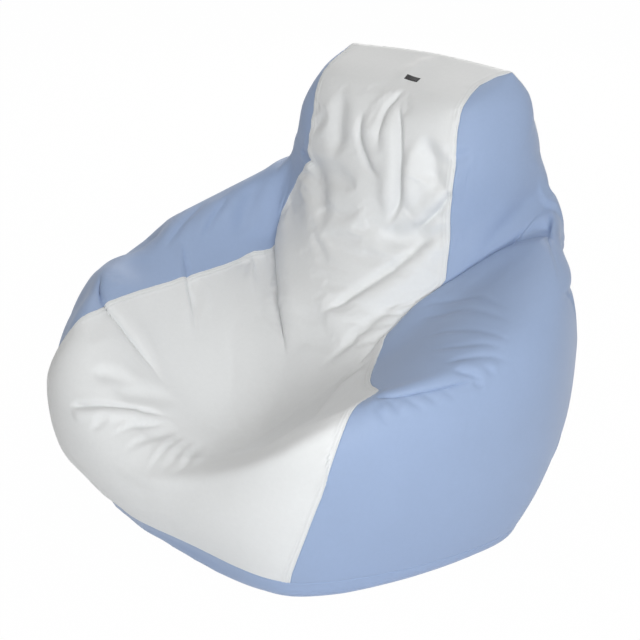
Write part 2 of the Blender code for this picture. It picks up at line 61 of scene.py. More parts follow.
# The bag's overall size, and its form as shares of it: rails from the hem over the crest to the ridge of the head
half_width, half_depth, height = 0.49, 0.46, 0.77
back_corner = (
    (0.43, 0.8, 0.058), (0.48, 0.87, 0.143), (0.51, 0.925, 0.25), (0.52, 0.935, 0.36), (0.52, 0.925, 0.47),
    (0.51, 0.9, 0.56), (0.5, 0.87, 0.625), (0.48, 0.855, 0.68), (0.465, 0.87, 0.72), (0.455, 0.885, 0.765),
    (0.44, 0.885, 0.825), (0.415, 0.86, 0.885), (0.39, 0.8, 0.94), (0.367, 0.72, 0.99),
)
rail_shares = (
    (
        (0, -0.84, 0.058), (0, -0.90, 0.125), (0, -0.93, 0.195), (0, -0.90, 0.255), (0, -0.81, 0.28),
        (0, -0.67, 0.265), (0, -0.48, 0.26), (0, -0.28, 0.325), (0, -0.12, 0.435), (0, 0.045, 0.54),
        (0, 0.185, 0.65), (0, 0.295, 0.78), (0, 0.43, 0.925), (0, 0.73, 1.0),
    ),
    (
        (0.43, -0.80, 0.058), (0.48, -0.815, 0.17), (0.535, -0.80, 0.305), (0.58, -0.75, 0.42),
        (0.58, -0.65, 0.48), (0.56, -0.52, 0.48), (0.46, -0.35, 0.46), (0.41, -0.17, 0.465),
        (0.38, 0, 0.487), (0.378, 0.175, 0.54), (0.363, 0.295, 0.636), (0.347, 0.337, 0.79),
        (0.32, 0.445, 0.93), (0.367, 0.72, 0.99),
    ),
    (
        (0.857, 0, 0.058), (0.90, 0.043, 0.143), (0.925, 0.065, 0.26), (0.93, 0.087, 0.39),
        (0.91, 0.13, 0.49), (0.86, 0.22, 0.57), (0.78, 0.33, 0.625), (0.68, 0.42, 0.65),
        (0.57, 0.45, 0.635), (0.505, 0.49, 0.66), (0.495, 0.56, 0.74), (0.48, 0.62, 0.84),
        (0.44, 0.68, 0.93), (0.367, 0.72, 0.99),
    ),
    back_corner,
    (
        (0, 0.80, 0.058), (0, 0.89, 0.143), (0, 0.955, 0.25), (0, 0.985, 0.36), (0, 0.985, 0.48),
        (0, 0.975, 0.57), (0, 0.965, 0.65), (0, 0.955, 0.715), (0, 0.945, 0.77), (0, 0.935, 0.82),
        (0, 0.92, 0.87), (0, 0.88, 0.93), (0, 0.82, 0.975), (0, 0.73, 1.0),
    ),
    tuple((-x, y, z) for x, y, z in back_corner),
    (
        (-0.857, 0, 0.058), (-0.94, -0.04, 0.143), (-0.98, -0.065, 0.26), (-0.985, -0.045, 0.39),
        (-0.94, 0.02, 0.487), (-0.84, 0.13, 0.56), (-0.735, 0.26, 0.61), (-0.635, 0.37, 0.65),
        (-0.56, 0.445, 0.675), (-0.51, 0.51, 0.715), (-0.48, 0.565, 0.78), (-0.46, 0.60, 0.865),
        (-0.43, 0.63, 0.935), (-0.367, 0.72, 0.99),
    ),
    (
        (-0.43, -0.80, 0.058), (-0.52, -0.87, 0.143), (-0.585, -0.905, 0.247), (-0.615, -0.885, 0.364),
        (-0.60, -0.81, 0.448), (-0.59, -0.67, 0.50), (-0.59, -0.435, 0.50), (-0.55, -0.17, 0.494),
        (-0.49, 0.11, 0.50), (-0.44, 0.28, 0.545), (-0.388, 0.38, 0.688), (-0.367, 0.413, 0.81),
        (-0.357, 0.50, 0.935), (-0.367, 0.72, 0.99),
    ),
)
base_ring_shares = (0.55, 0.93)  # two rings between the base's middle and its edge
hem_round_shares = (1, 0.9, 0.8, 0, 0.7, 0, 0.8, 0.9)  # 0 where a rail has a corner at the hem
rails, last_station, first_station = 8, 13, -2
seams = (1, 3, 5, 7)  # the rails that the panels meet on

# How finely the map is cut: strips are one rail each side of the front and back, sides are the rest
strip_cells, side_cells, station_cells, base_cells = 84, 126, 34, 12
cloth_step = 3  # the simulation takes every third point of the map
seam_reach = 0.45  # how many rails round a seam slide with it
liner_depth, bead_depth = 0.026, 0.030  # how deep these lie under the form

# Where the seams lie on the form: (station, how many rails the seam is off its own) for the two front seams,
# (rail, how many stations the hem is off its own) for the hem, and (rail, share drawn in) for the base's edge
right_seam = (
    (0.3, 0), (1.2, 0.02), (2, 0.035), (3.1, 0.015), (4.5, 0), (5.05, 0.05), (5.5, 0.01), (6.13, -0.02),
    (7.01, -0.1), (7.46, -0.11), (7.75, -0.12), (8.11, -0.15), (8.41, -0.13), (8.69, -0.06), (8.84, 0.03),
    (9.2, 0.11), (9.6, 0.06), (10.4, 0.01), (11.2, 0.04), (11.8, 0.02), (12.2, -0.05), (12.6, -0.16),
    (12.85, -0.14), (13, -0.03),
)
left_seam = (
    (1.5, 0), (2.6, -0.05), (3.6, -0.07), (4.6, -0.04), (5.2, 0), (7.8, 0), (8.3, -0.01), (8.75, 0.09),
    (9.05, 0.05), (9.2, -0.1), (9.5, -0.16), (9.97, -0.03), (10.25, 0.08), (10.5, 0.17), (10.7, 0.13),
    (10.95, 0.09), (11.4, 0.07), (11.8, -0.05), (12.3, -0.13), (12.8, -0.05), (13, 0),
)
hem_rise = (
    (-2.2, 0), (-1.5, 0.2), (-1.2, 0.3), (-1, 0.4), (-0.8, 0.54), (-0.62, 0.61), (-0.5, 0.54), (-0.39, 0.44),
    (-0.25, 0.35), (-0.1, 0.29), (0, 0.26), (0.6, 0.16), (1, 0.08), (1.4, 0),
)
base_draw = (
    (-2.2, 0), (-2, 0.03), (-1.75, 0.09), (-1.5, 0.17), (-1.25, 0.2), (-1, 0.175), (-0.85, 0.145), (-0.65, 0.11),
    (-0.46, 0.08), (-0.25, 0.035), (0, 0.012), (0.25, 0.008), (0.5, 0.018), (0.75, 0.028), (1, 0.022),
    (1.25, 0.016), (1.5, 0.03), (1.8, 0.052), (2.1, 0.034), (2.4, 0.008), (2.7, 0),
)

# Swells and folds: kind, width and depth in millimetres, how much of each end fades, and the places it runs through.
# A lip overlaps towards its left-hand side as it runs; a crease is sharp, a soft fold round, a ridge stands up,
# a drape is a broad ridge on its right with a valley on its left, a pleat is a narrow one, and a hollow is a dent.
swells = (
    ("ridge", 58, 14, 0.3, 0.4, ((-2.0, 8.4), (-1.93, 9.1), (-1.84, 9.8), (-1.72, 10.6), (-1.56, 11.4),
        (-1.45, 12.1))),
    ("hollow", 92, 24, 0.45, 0.3, ((2.5, 3.2), (2.56, 4.1), (2.6, 5.1), (2.62, 5.8), (2.66, 6.5))),
    ("hollow", 60, 15, 0.35, 0.35, ((2.8, 8.2), (2.9, 9.4), (2.93, 10.3), (2.92, 11.2), (2.88, 12.1))),
    ("hollow", 60, 17, 0.35, 0.35, ((-1.5, 4.5), (-1.36, 4.1), (-1.25, 3.6), (-1.15, 3.2), (-1.08, 2.8))),
    ("hollow", 46, 10, 0.35, 0.35, ((-1.85, 5.3), (-1.75, 4.7), (-1.6, 4.4))),
    ("hollow", 50, 10, 0.35, 0.35, ((-1.1, 1.2), (-0.9, 0.8), (-0.8, 0.35), (-0.6, 0.15), (-0.4, 0.1))),
    ("ridge", 36, 9, 0.3, 0.3, ((2.55, 7.35), (2.72, 7.1), (2.9, 6.9))),
    ("hollow", 48, 15, 0.3, 0.3, ((-2.0, 4.3), (-1.6, 5.2), (-1.2, 6.05), (-0.95, 6.4))),
)
folds = (
    # The arm on the right laps over the root of the head
    ("lip", 52, 15, 0.16, 0.24, ((0.7, 7.1), (0.76, 7.5), (0.81, 7.85), (0.85, 8.11), (0.87, 8.41), (0.9, 8.69),
        (0.98, 8.88), (1.17, 9.02), (1.47, 8.93), (1.74, 8.62), (1.96, 8.3), (2.17, 8.17), (2.35, 8.06),
        (2.48, 7.92))),
    # The head laps over the arm on the left
    ("lip", 46, 20, 0.3, 0.2, ((-0.04, 7.45), (-0.15, 7.76), (-0.27, 8.08), (-0.42, 8.44), (-0.63, 8.8),
        (-0.9, 9.06), (-1.12, 9.2), (-1.3, 9.32))),
    # The rim of the seat laps over the nose on the left
    ("lip", 34, 13, 0.4, 0.2, ((-0.46, 5.55), (-0.54, 5.66), (-0.62, 5.7), (-0.72, 5.7), (-0.85, 5.64),
        (-0.96, 5.53), (-1.04, 5.45), (-1.16, 5.3), (-1.35, 4.93))),
    # Pinches in the rim on the left
    ("drape", 13, 8, 0.3, 0.45, ((-1.45, 6.45), (-1.3, 6.8), (-1.18, 6.93), (-1.02, 7.01), (-0.81, 6.97),
        (-0.66, 6.8), (-0.54, 6.61))),
    ("soft", 11, 4, 0.3, 0.5, ((-1.02, 7.17), (-0.88, 7.13), (-0.76, 7.02), (-0.62, 6.9))),
    ("drape", 17, 6, 0.3, 0.4, ((-1.9, 6.1), (-1.65, 6.2), (-1.42, 6.35), (-1.25, 6.5))),
    ("drape", 15, 5, 0.3, 0.4, ((-1.8, 6.9), (-1.6, 7.0), (-1.42, 7.1), (-1.3, 7.15))),
    ("soft", 16, 5, 0.3, 0.4, ((-1.9, 7.7), (-1.65, 7.8), (-1.45, 7.85), (-1.25, 7.8))),
    # The crease across the panel on the right, with its hook, gathers and drape lines
    ("lip", 24, 7, 0.3, 0.06, ((1.56, 4.02), (1.46, 4.12), (1.38, 4.12), (1.27, 4.16), (1.18, 4.24),
        (1.06, 4.57))),
    ("drape", 12, 5, 0.4, 0.3, ((1.59, 3.94), (1.54, 4.18), (1.47, 4.42), (1.4, 4.63))),
    ("drape", 9, 3, 0.4, 0.4, ((1.64, 4.0), (1.6, 4.22), (1.55, 4.42))),
    ("crease", 9, 4, 0.3, 0.5, ((1.52, 4.02), (1.56, 3.9), (1.585, 3.78))),
    ("drape", 12, 3.4, 0.2, 0.6, ((1.14, 4.15), (1.19, 3.86), (1.26, 3.41))),
    ("drape", 12, 3.4, 0.2, 0.6, ((1.08, 4.25), (1.13, 3.8), (1.22, 3.19))),
    ("drape", 11, 3, 0.2, 0.6, ((1.22, 4.05), (1.29, 3.72), (1.36, 3.42))),
    ("drape", 10, 2.6, 0.2, 0.6, ((1.3, 4.03), (1.36, 3.75), (1.41, 3.49))),
    ("drape", 10, 2, 0.2, 0.6, ((1.39, 4.0), (1.43, 3.8), (1.47, 3.62))),
    ("drape", 19, 3, 0.3, 0.35, ((0.99, 8.45), (1.18, 8.35), (1.36, 7.95), (1.49, 7.38), (1.61, 6.3),
        (1.71, 5.62))),
    ("drape", 18, 3, 0.3, 0.35, ((1.08, 7.94), (1.2, 7.85), (1.34, 7.4), (1.45, 6.88), (1.59, 5.94),
        (1.7, 5.23))),
    ("drape", 16, 2.6, 0.3, 0.35, ((1.22, 6.8), (1.36, 6.35), (1.5, 5.73), (1.62, 5.12), (1.72, 4.67))),
    ("drape", 15, 2.6, 0.3, 0.35, ((1.28, 5.9), (1.42, 5.45), (1.54, 5.12), (1.68, 4.57))),
    ("drape", 13, 2.8, 0.3, 0.35, ((1.33, 5.1), (1.45, 4.9), (1.58, 4.61), (1.71, 4.2))),
    # The slit beside the seat on the right, whose far wall hangs over it
    ("lip", 34, 13, 0.3, 0.25, ((0.45, 3.9), (0.6, 4.5), (0.66, 5.1), (0.67, 5.7), (0.69, 6.22), (0.71, 6.65),
        (0.75, 6.97), (0.78, 7.2))),
    # The crest between the front face and the bowl of the seat
    ("ridge", 17, 7, 0.25, 0.25, ((-0.45, 2.55), (-0.18, 2.62), (0.18, 3.14), (0.62, 3.15), (0.93, 3.54),
        (1.04, 4.2))),
    # Gathers that fan out from the nose
    ("pleat", 20, 11, 0.12, 0.35, ((-0.72, 3.15), (-0.64, 3.4), (-0.56, 3.79), (-0.46, 4.29), (-0.38, 4.76),
        (-0.31, 5.12))),
    ("pleat", 13, 7, 0.35, 0.6, ((-0.3, 4.91), (-0.36, 4.27), (-0.41, 3.56), (-0.44, 3.0))),
    ("crease", 8, 5, 0.35, 0.6, ((-0.25, 4.97), (-0.27, 4.07), (-0.31, 3.39), (-0.34, 2.75))),
    ("pleat", 12, 7, 0.35, 0.6, ((-0.2, 5.04), (-0.17, 4.14), (-0.16, 3.45), (-0.17, 2.55))),
    ("crease", 8, 5, 0.35, 0.6, ((-0.15, 5.0), (-0.1, 4.22), (-0.07, 3.56), (-0.09, 2.8))),
    ("crease", 9, 6, 0.35, 0.6, ((-0.1, 5.06), (-0.02, 4.22), (0.02, 3.6), (0.01, 2.95))),
    ("crease", 8, 4, 0.3, 0.6, ((-0.5, 3.85), (-0.52, 3.35), (-0.56, 2.85))),
    ("soft", 16, 6, 0.3, 0.4, ((-0.6, 4.3), (-0.5, 4.8), (-0.42, 5.3), (-0.36, 5.6))),
    ("soft", 13, 5, 0.3, 0.4, ((-0.72, 4.2), (-0.62, 4.7), (-0.52, 5.15))),
    # The slack front of the head
    ("drape", 19, 15, 0.25, 0.25, ((0.14, 12.0), (0.22, 11.7), (0.27, 11.52), (0.34, 11.18), (0.39, 10.83),
        (0.41, 10.53), (0.37, 10.2))),
    ("drape", 14, 9, 0.3, 0.4, ((0.14, 12.25), (0.05, 12.05), (0.0, 11.85), (0.01, 11.65), (0.06, 11.42),
        (0.12, 11.25))),
    ("drape", 18, 12, 0.3, 0.35, ((0.24, 10.86), (0.09, 10.98), (-0.06, 11.18), (-0.16, 11.39), (-0.22, 11.75))),
    ("soft", 18, 7, 0.35, 0.35, ((-0.6, 11.95), (-0.5, 11.6), (-0.44, 11.2), (-0.42, 10.8))),
    ("soft", 17, 12, 0.3, 0.35, ((0.62, 11.6), (0.69, 11.35), (0.77, 11.1), (0.82, 10.9), (0.74, 10.7))),
    ("drape", 17, 11, 0.1, 0.4, ((0.98, 10.8), (0.89, 10.6), (0.74, 10.38), (0.56, 10.15))),
    ("soft", 20, 8, 0.25, 0.4, ((-0.88, 10.55), (-0.72, 10.45), (-0.55, 10.25), (-0.4, 10.0), (-0.25, 9.6))),
    ("ridge", 17, 9, 0.35, 0.35, ((0.5, 11.4), (0.52, 11.0), (0.55, 10.7), (0.57, 10.4))),
    ("soft", 19, 12, 0.3, 0.3, ((0.3, 10.1), (0.4, 10.02), (0.55, 10.02), (0.7, 10.15), (0.8, 10.32))),
    ("drape", 25, 13, 0.25, 0.3, ((0.05, 8.25), (0.22, 8.55), (0.41, 9.03), (0.59, 9.5), (0.77, 9.97),
        (0.9, 10.15), (1.0, 10.35))),
    ("drape", 25, 7, 0.4, 0.4, ((0.3, 7.3), (0.42, 7.6), (0.56, 8.1), (0.66, 8.6), (0.76, 9.1))),
    ("ridge", 18, 5, 0.3, 0.5, ((0.1, 13.0), (0.04, 12.75), (-0.02, 12.5), (0.02, 12.2))),
    ("crease", 11, 5, 0.1, 0.6, ((1.02, 11.28), (1.13, 11.28), (1.25, 11.38))),
    ("crease", 10, 6, 0.3, 0.6, ((-1.2, 10.35), (-1.0, 10.45), (-0.85, 10.5), (-0.72, 10.45))),
    # The back and the far sides, which have the same slump
    ("soft", 24, 8, 0.3, 0.3, ((3.0, 7.35), (3.2, 7.25), (3.6, 7.25), (4.1, 7.15), (4.5, 7.25))),
    ("drape", 20, 8, 0.3, 0.4, ((3.1, 8.6), (3.3, 8.3), (3.6, 8.05), (4.0, 7.95))),
    ("drape", 20, 8, 0.3, 0.4, ((4.9, 8.9), (4.7, 8.5), (4.4, 8.2), (4.15, 8.1))),
    ("drape", 22, 9, 0.3, 0.4, ((4.95, 7.0), (5.3, 7.3), (5.7, 7.6), (6.05, 8.1), (6.3, 8.7))),
    ("drape", 18, 6, 0.3, 0.4, ((5.1, 5.6), (5.4, 5.3), (5.8, 5.2), (6.2, 5.35))),
    ("drape", 18, 6, 0.3, 0.4, ((2.9, 5.4), (2.6, 5.1), (2.3, 5.0), (2.0, 5.1))),
    ("crease", 12, 6, 0.3, 0.5, ((5.02, 9.3), (5.25, 9.2), (5.5, 9.3))),
    ("soft", 20, 6, 0.3, 0.4, ((3.3, 3.2), (3.7, 2.8), (4.2, 2.7), (4.7, 3.1))),
    ("drape", 15, 4, 0.2, 0.6, ((5.6, 0.4), (5.62, 1.2), (5.7, 2.1))),
    ("drape", 15, 4, 0.2, 0.6, ((6.1, 0.4), (6.12, 1.3), (6.05, 2.2))),
    ("drape", 15, 4, 0.2, 0.6, ((6.6, 0.4), (6.55, 1.2), (6.6, 2.0))),
    ("drape", 15, 4, 0.2, 0.6, ((2.2, 0.4), (2.25, 1.2), (2.2, 2.2))),
    ("drape", 15, 4, 0.2, 0.6, ((2.7, 0.4), (2.66, 1.3), (2.7, 2.0))),
)


# ---------------------------------------------------------------- the map of the cover


def smooth(share):
    share = np.clip(share, 0, 1)
    return share * share * (3 - 2 * share)


def hermite(start, end, leave, arrive, share):
    """The cubic from start to end with these end slopes."""
    square, cube = share**2, share**3
    return (
        (2 * cube - 3 * square + 1) * start
        + (cube - 2 * square + share) * leave
        + (3 * square - 2 * cube) * end
        + (cube - square) * arrive
    )


def skin(around, up):
    """The lofted form at each place round the bag and each station up it."""
    points = np.array(rail_shares) * (half_width, half_depth, height)
    rings = [points[:, 0] * share * (1, 1, 0) for share in base_ring_shares]
    points = np.concatenate([np.stack(rings, axis=1), points], axis=1)
    station = np.asarray(up, float) - first_station
    index = np.clip(np.floor(station).astype(int), 0, points.shape[1] - 2)
    share = (station - index)[None, :, None]
    before = 2 * points[:, :1] - points[:, 1:2]
    after = 2 * points[:, -1:] - points[:, -2:-1]
    run = np.concatenate([before, points, after], axis=1)
    a, b, c, d = (run[:, index + k] for k in range(4))
    rings = hermite(b, c, (c - a) / 2, (d - b) / 2, share)
    step = np.roll(rings, -1, axis=0) - rings
    chord = np.sqrt(np.linalg.norm(step, axis=2, keepdims=True) / half_width + 0.001)
    chord_before = np.roll(chord, 1, axis=0)
    step_before = np.roll(step / chord, 1, axis=0)
    slope = (step / chord * chord_before + step_before * chord) / (chord + chord_before)
    corner = np.array(hem_round_shares)[:, None]
    slope = slope * (corner + (1 - corner) * smooth(np.asarray(up, float) / 2)[None, :])[:, :, None]
    around = np.asarray(around, float)
    rail = np.floor(around).astype(int) % rails
    following = (rail + 1) % rails
    share = (around - np.floor(around))[:, None, None]
    surface = hermite(rings[rail], rings[following], slope[rail] * chord[rail], slope[following] * chord[rail], share)
    surface[:, :, 2] = np.maximum(surface[:, :, 2], 0)
    return surface


cell_counts = (strip_cells, side_cells, side_cells, strip_cells) * 2
map_places = np.concatenate([np.arange(n) / n + rail for rail, n in enumerate(cell_counts)] + [[rails]])
map_stations = np.concatenate([
    np.arange(-2 * base_cells, 0) / base_cells,
    np.arange(0, last_station * station_cells + 1) / station_cells,
])
cover = {}


def normals(points):
    """The unit normals of a map, pointing out of the bag."""
    across = np.roll(points, -1, axis=0) - np.roll(points, 1, axis=0)
    along = np.gradient(points, axis=1)
    across[:, -1] = across[:, -2]
    normal = np.cross(across, along)
    return normal / np.maximum(np.linalg.norm(normal, axis=2, keepdims=True), 1e-12)


def weights(share):
    square, cube = share**2, share**3
    return (
        (-share + 2 * square - cube) / 2, (2 - 5 * square + 3 * cube) / 2,
        (share + 4 * square - 3 * cube) / 2, (cube - square) / 2,
    )


def sample(values, around, up, places=map_places, stations=map_stations):
    """A map's values at any places and stations, by a cubic through its points."""
    i = np.interp(np.mod(around, rails), places, np.arange(len(places)))
    j = np.interp(up, stations, np.arange(len(stations)))
    column = np.floor(i).astype(int)
    row = np.clip(np.floor(j).astype(int), 0, len(stations) - 2)
    across, along = weights(i - column), weights(j - row)
    total = 0
    for k in range(4):
        for m in range(4):
            line = np.clip(row + m - 1, 0, len(stations) - 1)
            share = (across[k] * along[m])[..., None]
            total = total + share * values[(column + k - 1) % (len(places) - 1), line]
    return total


def unit(vectors):
    return vectors / np.linalg.norm(vectors, axis=-1, keepdims=True)


def lengths(points):
    """How far along a line, or along each line of a net, every point lies."""
    steps = np.linalg.norm(np.diff(points, axis=0), axis=-1)
    return np.concatenate([np.zeros((1, *steps.shape[1:])), np.cumsum(steps, axis=0)])


def rounded(distance, radius):
    """The height of a rounded rim, from 0 at its edge to 1 past its radius."""
    return np.sqrt(np.clip(1 - (1 - np.clip(distance / radius, 0, 1)) ** 2, 0, 1))


def on_cover(around, up, lift=0.0):
    """Points on the cover at these places and stations, raised by a lift."""
    points = sample(cover["points"], around, up)
    normal = sample(cover["normals"], around, up)
    return points + unit(normal) * np.asarray(lift)[..., None]


def fold_path(points, places):
    """A fold's run over the lofted form, as points at even steps."""
    places = np.array(places, float)
    fine = np.linspace(0, len(places) - 1, 12 * (len(places) - 1) + 1)
    index = np.clip(np.floor(fine).astype(int), 0, len(places) - 2)
    run = np.concatenate([2 * places[:1] - places[1:2], places, 2 * places[-1:] - places[-2:-1]])
    share = (fine - index)[:, None]
    a, b, c, d = (run[index + k] for k in range(4))
    line = hermite(b, c, (c - a) / 2, (d - b) / 2, share)
    return sample(points, line[:, 0], np.clip(line[:, 1], first_station, last_station))


def bell(x):
    return np.exp(-(x**2))


def fold_offset(kind, x, width, depth):
    """How far a fold moves the cloth out and to its left, at a distance x to its left."""
    if kind == "lip":
        roll = 0.19 * width
        lobe = (1 - np.exp(np.minimum(x, 0) / roll)) * bell(x / width)
        groove = np.where(x < 0, np.exp(np.minimum(x, 0) / roll), np.exp(-np.maximum(x, 0) / (0.4 * width)))
        return depth * (0.7 * lobe - 0.8 * groove), 0.65 * depth * bell((x + 0.8 * roll) / (1.2 * roll))
    if kind == "drape":
        rise = 0.5 * bell((x / width + 0.95) / 0.85) - 0.8 * bell((x / width - 0.2) / 0.45)
        return depth * rise, 0.25 * depth * bell((x / width + 0.3) / 0.6)
    if kind == "pleat":
        rise = 0.5 * bell((x / width + 0.62) / 0.5) - 0.8 * bell((x / width - 0.1) / 0.32)
        return depth * rise, 0.3 * depth * bell((x / width + 0.2) / 0.4)
    if kind == "crease":
        shoulders = bell((x - 1.7 * width) / width) + bell((x + 1.7 * width) / width)
        return depth * (0.35 * shoulders - np.exp(-np.abs(x) / (0.7 * width))), 0 * x
    if kind == "soft":
        shoulders = bell(x / width - 2) + bell(x / width + 2)
        return depth * (0.3 * shoulders - bell(x / width)), 0 * x
    return (depth if kind == "ridge" else -depth) * bell(x / width), 0 * x


def add_folds(points, runs, scale=1.0):
    """The map with every run of folds in it. Each is measured on the plain form, so that they add up."""
    normal = normals(points)
    moved = points.copy()
    flat, out = points.reshape(-1, 3), normal.reshape(-1, 3)
    result = moved.reshape(-1, 3)
    for kind, width, depth, fade_in, fade_out, places in runs:
        width, depth = width / 1000, depth / 1000 * scale
        line = fold_path(points, places)
        reach = 2.6 * width
        near = np.where(((flat > line.min(0) - reach) & (flat < line.max(0) + reach)).all(1))[0]
        if not len(near):
            continue
        length = lengths(line)
        best = np.full(len(near), np.inf)
        x, along = np.zeros(len(near)), np.zeros(len(near))
        lateral = np.zeros((len(near), 3))
        p, n = flat[near], out[near]
        for k in range(len(line) - 1):
            start, step = line[k], line[k + 1] - line[k]
            share = np.clip((p - start) @ step / (step @ step), 0, 1)
            away = p - start - share[:, None] * step
            away -= n * np.sum(away * n, axis=1, keepdims=True)
            distance = np.linalg.norm(away, axis=1)
            closer = distance < best
            left = np.cross(n, step / np.linalg.norm(step))
            best[closer] = distance[closer]
            x[closer] = (distance * np.sign(np.sum(away * left, axis=1)))[closer]
            along[closer] = ((length[k] + share * (length[k + 1] - length[k])) / length[-1])[closer]
            lateral[closer] = left[closer]
        ends = smooth(along / fade_in) * smooth((1 - along) / fade_out)
        rise, shift = fold_offset(kind, x, width * (0.55 + 0.45 * ends), depth * ends)
        result[near] += n * rise[:, None] + lateral * shift[:, None]
    moved[:, :, 2] = np.maximum(moved[:, :, 2], 0)
    return moved


def centred(around):
    """Places counted both ways from the middle of the front."""
    return np.mod(around + rails / 2, rails) - rails / 2


def from_strip(around):
    """How many rails a place is from the middle of the strip, in front or behind."""
    return np.abs(np.mod(around + rails / 4, rails / 2) - rails / 4)


def slide_seams(points):
    """The map with its seams slid over the form to where they are sewn, and the base drawn in under the nose."""
    around, up = np.meshgrid(map_places[:-1], map_stations, indexing="ij")
    left, right = (np.interp(up, *zip(*run)) for run in (left_seam, right_seam))
    from_left = centred(around - seams[3])
    around = around + right * bell((around - seams[0]) / seam_reach) + left * bell(from_left / seam_reach)
    turn = centred(around)
    rise = np.interp(turn, *zip(*hem_rise))
    up = up + rise * np.where(up < 0, 1 - smooth(-up), 1 - smooth(up / 1.2))
    slid = sample(points, around, np.clip(up, first_station, last_station))
    inward = np.interp(turn, *zip(*base_draw)) * (1 - smooth((up + 0.85) / 0.75))
    slid[:, :, :2] *= (1 - inward)[:, :, None]
    return slid


def hold_weights(around, up):
    """How firmly the simulation holds each point: seams, hem, ridge, zip, handle and tab."""
    around, up = np.meshgrid(around, up, indexing="ij")
    seam = np.min([np.abs(around - place) for place in seams], axis=0)
    hold = 0.04 + 0.25 * bell(seam / 0.06)
    hold = np.maximum(hold, 1 - smooth(up / 0.5))
    hold = np.maximum(hold, smooth((up - 12.6) / 0.3))
    behind = np.abs(around - rails / 2)
    zip_part = (1 - smooth((behind - 1) / 0.3)) * (1 - smooth((up - 0.7) / 0.8))
    handle = (1 - smooth((behind - 0.75) / 0.2)) * (1 - smooth((np.abs(up - 10.35) - 0.7) / 0.5))
    hold = np.maximum(hold, np.maximum(zip_part, handle))
    tab = (1 - smooth((np.abs(centred(around) - 0.1) - 0.12) / 0.2)) * smooth((up - 12.0) / 0.2)
    return np.maximum(hold, tab)


def slackness(around, up):
    """How much of the simulation's wrinkles each place shows: most on the head's front and the seat's back."""
    front = np.abs(centred(around))
    strip = 1 - smooth((from_strip(around) - 0.85) / 0.2)
    head = smooth((up - 7.2) / 1.2) * (1 - smooth((up - 11.8) / 0.8))
    seat = smooth((up - 3.4) / 1.2) * 0.22
    behind = smooth((front - 2.6) / 0.6) * 0.7 * smooth((up - 1) / 2)
    cloth = np.maximum(np.maximum(head, seat) * (1 - smooth((front - 1.1) / 0.3)), behind)
    return np.maximum(0.12, cloth) * (0.35 + 0.65 * strip) * (1 - 0.8 * smooth((up - 12) / 0.5))


def blur(values, cells):
    """A map averaged over some cells round each point."""
    steps = range(-2 * cells, 2 * cells + 1)
    share = [math.exp(-((k / cells) ** 2)) for k in steps]
    around = sum(s * np.roll(values, k, axis=0) for k, s in zip(steps, share)) / sum(share)
    padded = np.pad(around, ((0, 0), (2 * cells, 2 * cells), (0, 0)), mode="edge")
    rows = values.shape[1]
    return sum(s * padded[:, k : k + rows] for k, s in enumerate(share)) / sum(share)


cloth_feel = {
    "quality": 5, "mass": 0.25, "tension_stiffness": 18, "compression_stiffness": 18, "shear_stiffness": 8,
    "bending_stiffness": 0.5, "use_pressure": True, "pin_stiffness": 1.0,
}
swelling_removed, swelling_cells = 0.85, 5  # the broad part of the move, which would change the form


def settle(points, hold, taut, settings):
    """What a short cloth simulation does to the map: slack cloth over a filling that holds it."""
    columns, rows = points.shape[:2]
    bm = bmesh.new()
    bmesh.ops.create_grid(bm, x_segments=columns, y_segments=rows - 1, size=1)
    mesh = bpy.data.meshes.new("cloth trial")
    i, j = place_grid(bm, mesh, columns + 1, rows, points[np.arange(columns + 1) % columns], None)
    bm.free()
    bm = bmesh.new()
    bm.from_mesh(mesh)
    index = bm.verts.layers.int.new("place")
    for vert, column, row in zip(bm.verts, i, j):
        vert[index] = int(column % columns) * rows + int(row)
    bmesh.ops.remove_doubles(bm, verts=[v for v, column in zip(bm.verts, i) if column in (0, columns)], dist=1e-7)
    place = np.array([vert[index] for vert in bm.verts])
    bm.to_mesh(mesh)
    bm.free()
    item = bpy.data.objects.new("cloth trial", mesh)
    bpy.context.scene.collection.objects.link(item)
    for name, weight in (("hold", hold), ("taut", taut)):
        group = item.vertex_groups.new(name=name)
        for number, value in enumerate(weight.reshape(-1)[place]):
            group.add([number], float(value), "REPLACE")
    cloth = item.modifiers.new("Cloth", "CLOTH")
    for name, value in cloth_feel.items():
        setattr(cloth.settings, name, value)
    cloth.settings.uniform_pressure_force = settings.pressure
    cloth.settings.shrink_min, cloth.settings.shrink_max = -settings.slack, -settings.slack / 6
    cloth.settings.vertex_group_shrink, cloth.settings.vertex_group_mass = "taut", "hold"
    cloth.settings.effector_weights.gravity = 0
    cloth.collision_settings.use_collision = False
    cloth.point_cache.frame_start, cloth.point_cache.frame_end = 1, settings.frames
    scene = bpy.context.scene
    for number in range(1, settings.frames + 1):
        scene.frame_set(number)
    result = item.evaluated_get(bpy.context.evaluated_depsgraph_get()).to_mesh()
    settled = np.empty(len(result.vertices) * 3)
    result.vertices.foreach_get("co", settled)
    scene.frame_set(1)
    bpy.data.objects.remove(item, do_unlink=True)
    bpy.data.meshes.remove(mesh)
    move = np.zeros((columns * rows, 3))
    move[place] = settled.reshape(-1, 3) - points.reshape(-1, 3)[place]
    move = move.reshape(points.shape)
    move = move - swelling_removed * blur(move, swelling_cells)
    length = np.linalg.norm(move, axis=2, keepdims=True)
    limit = settings.most_move
    return move * (limit * np.tanh(length / limit) / np.maximum(length, 1e-9))


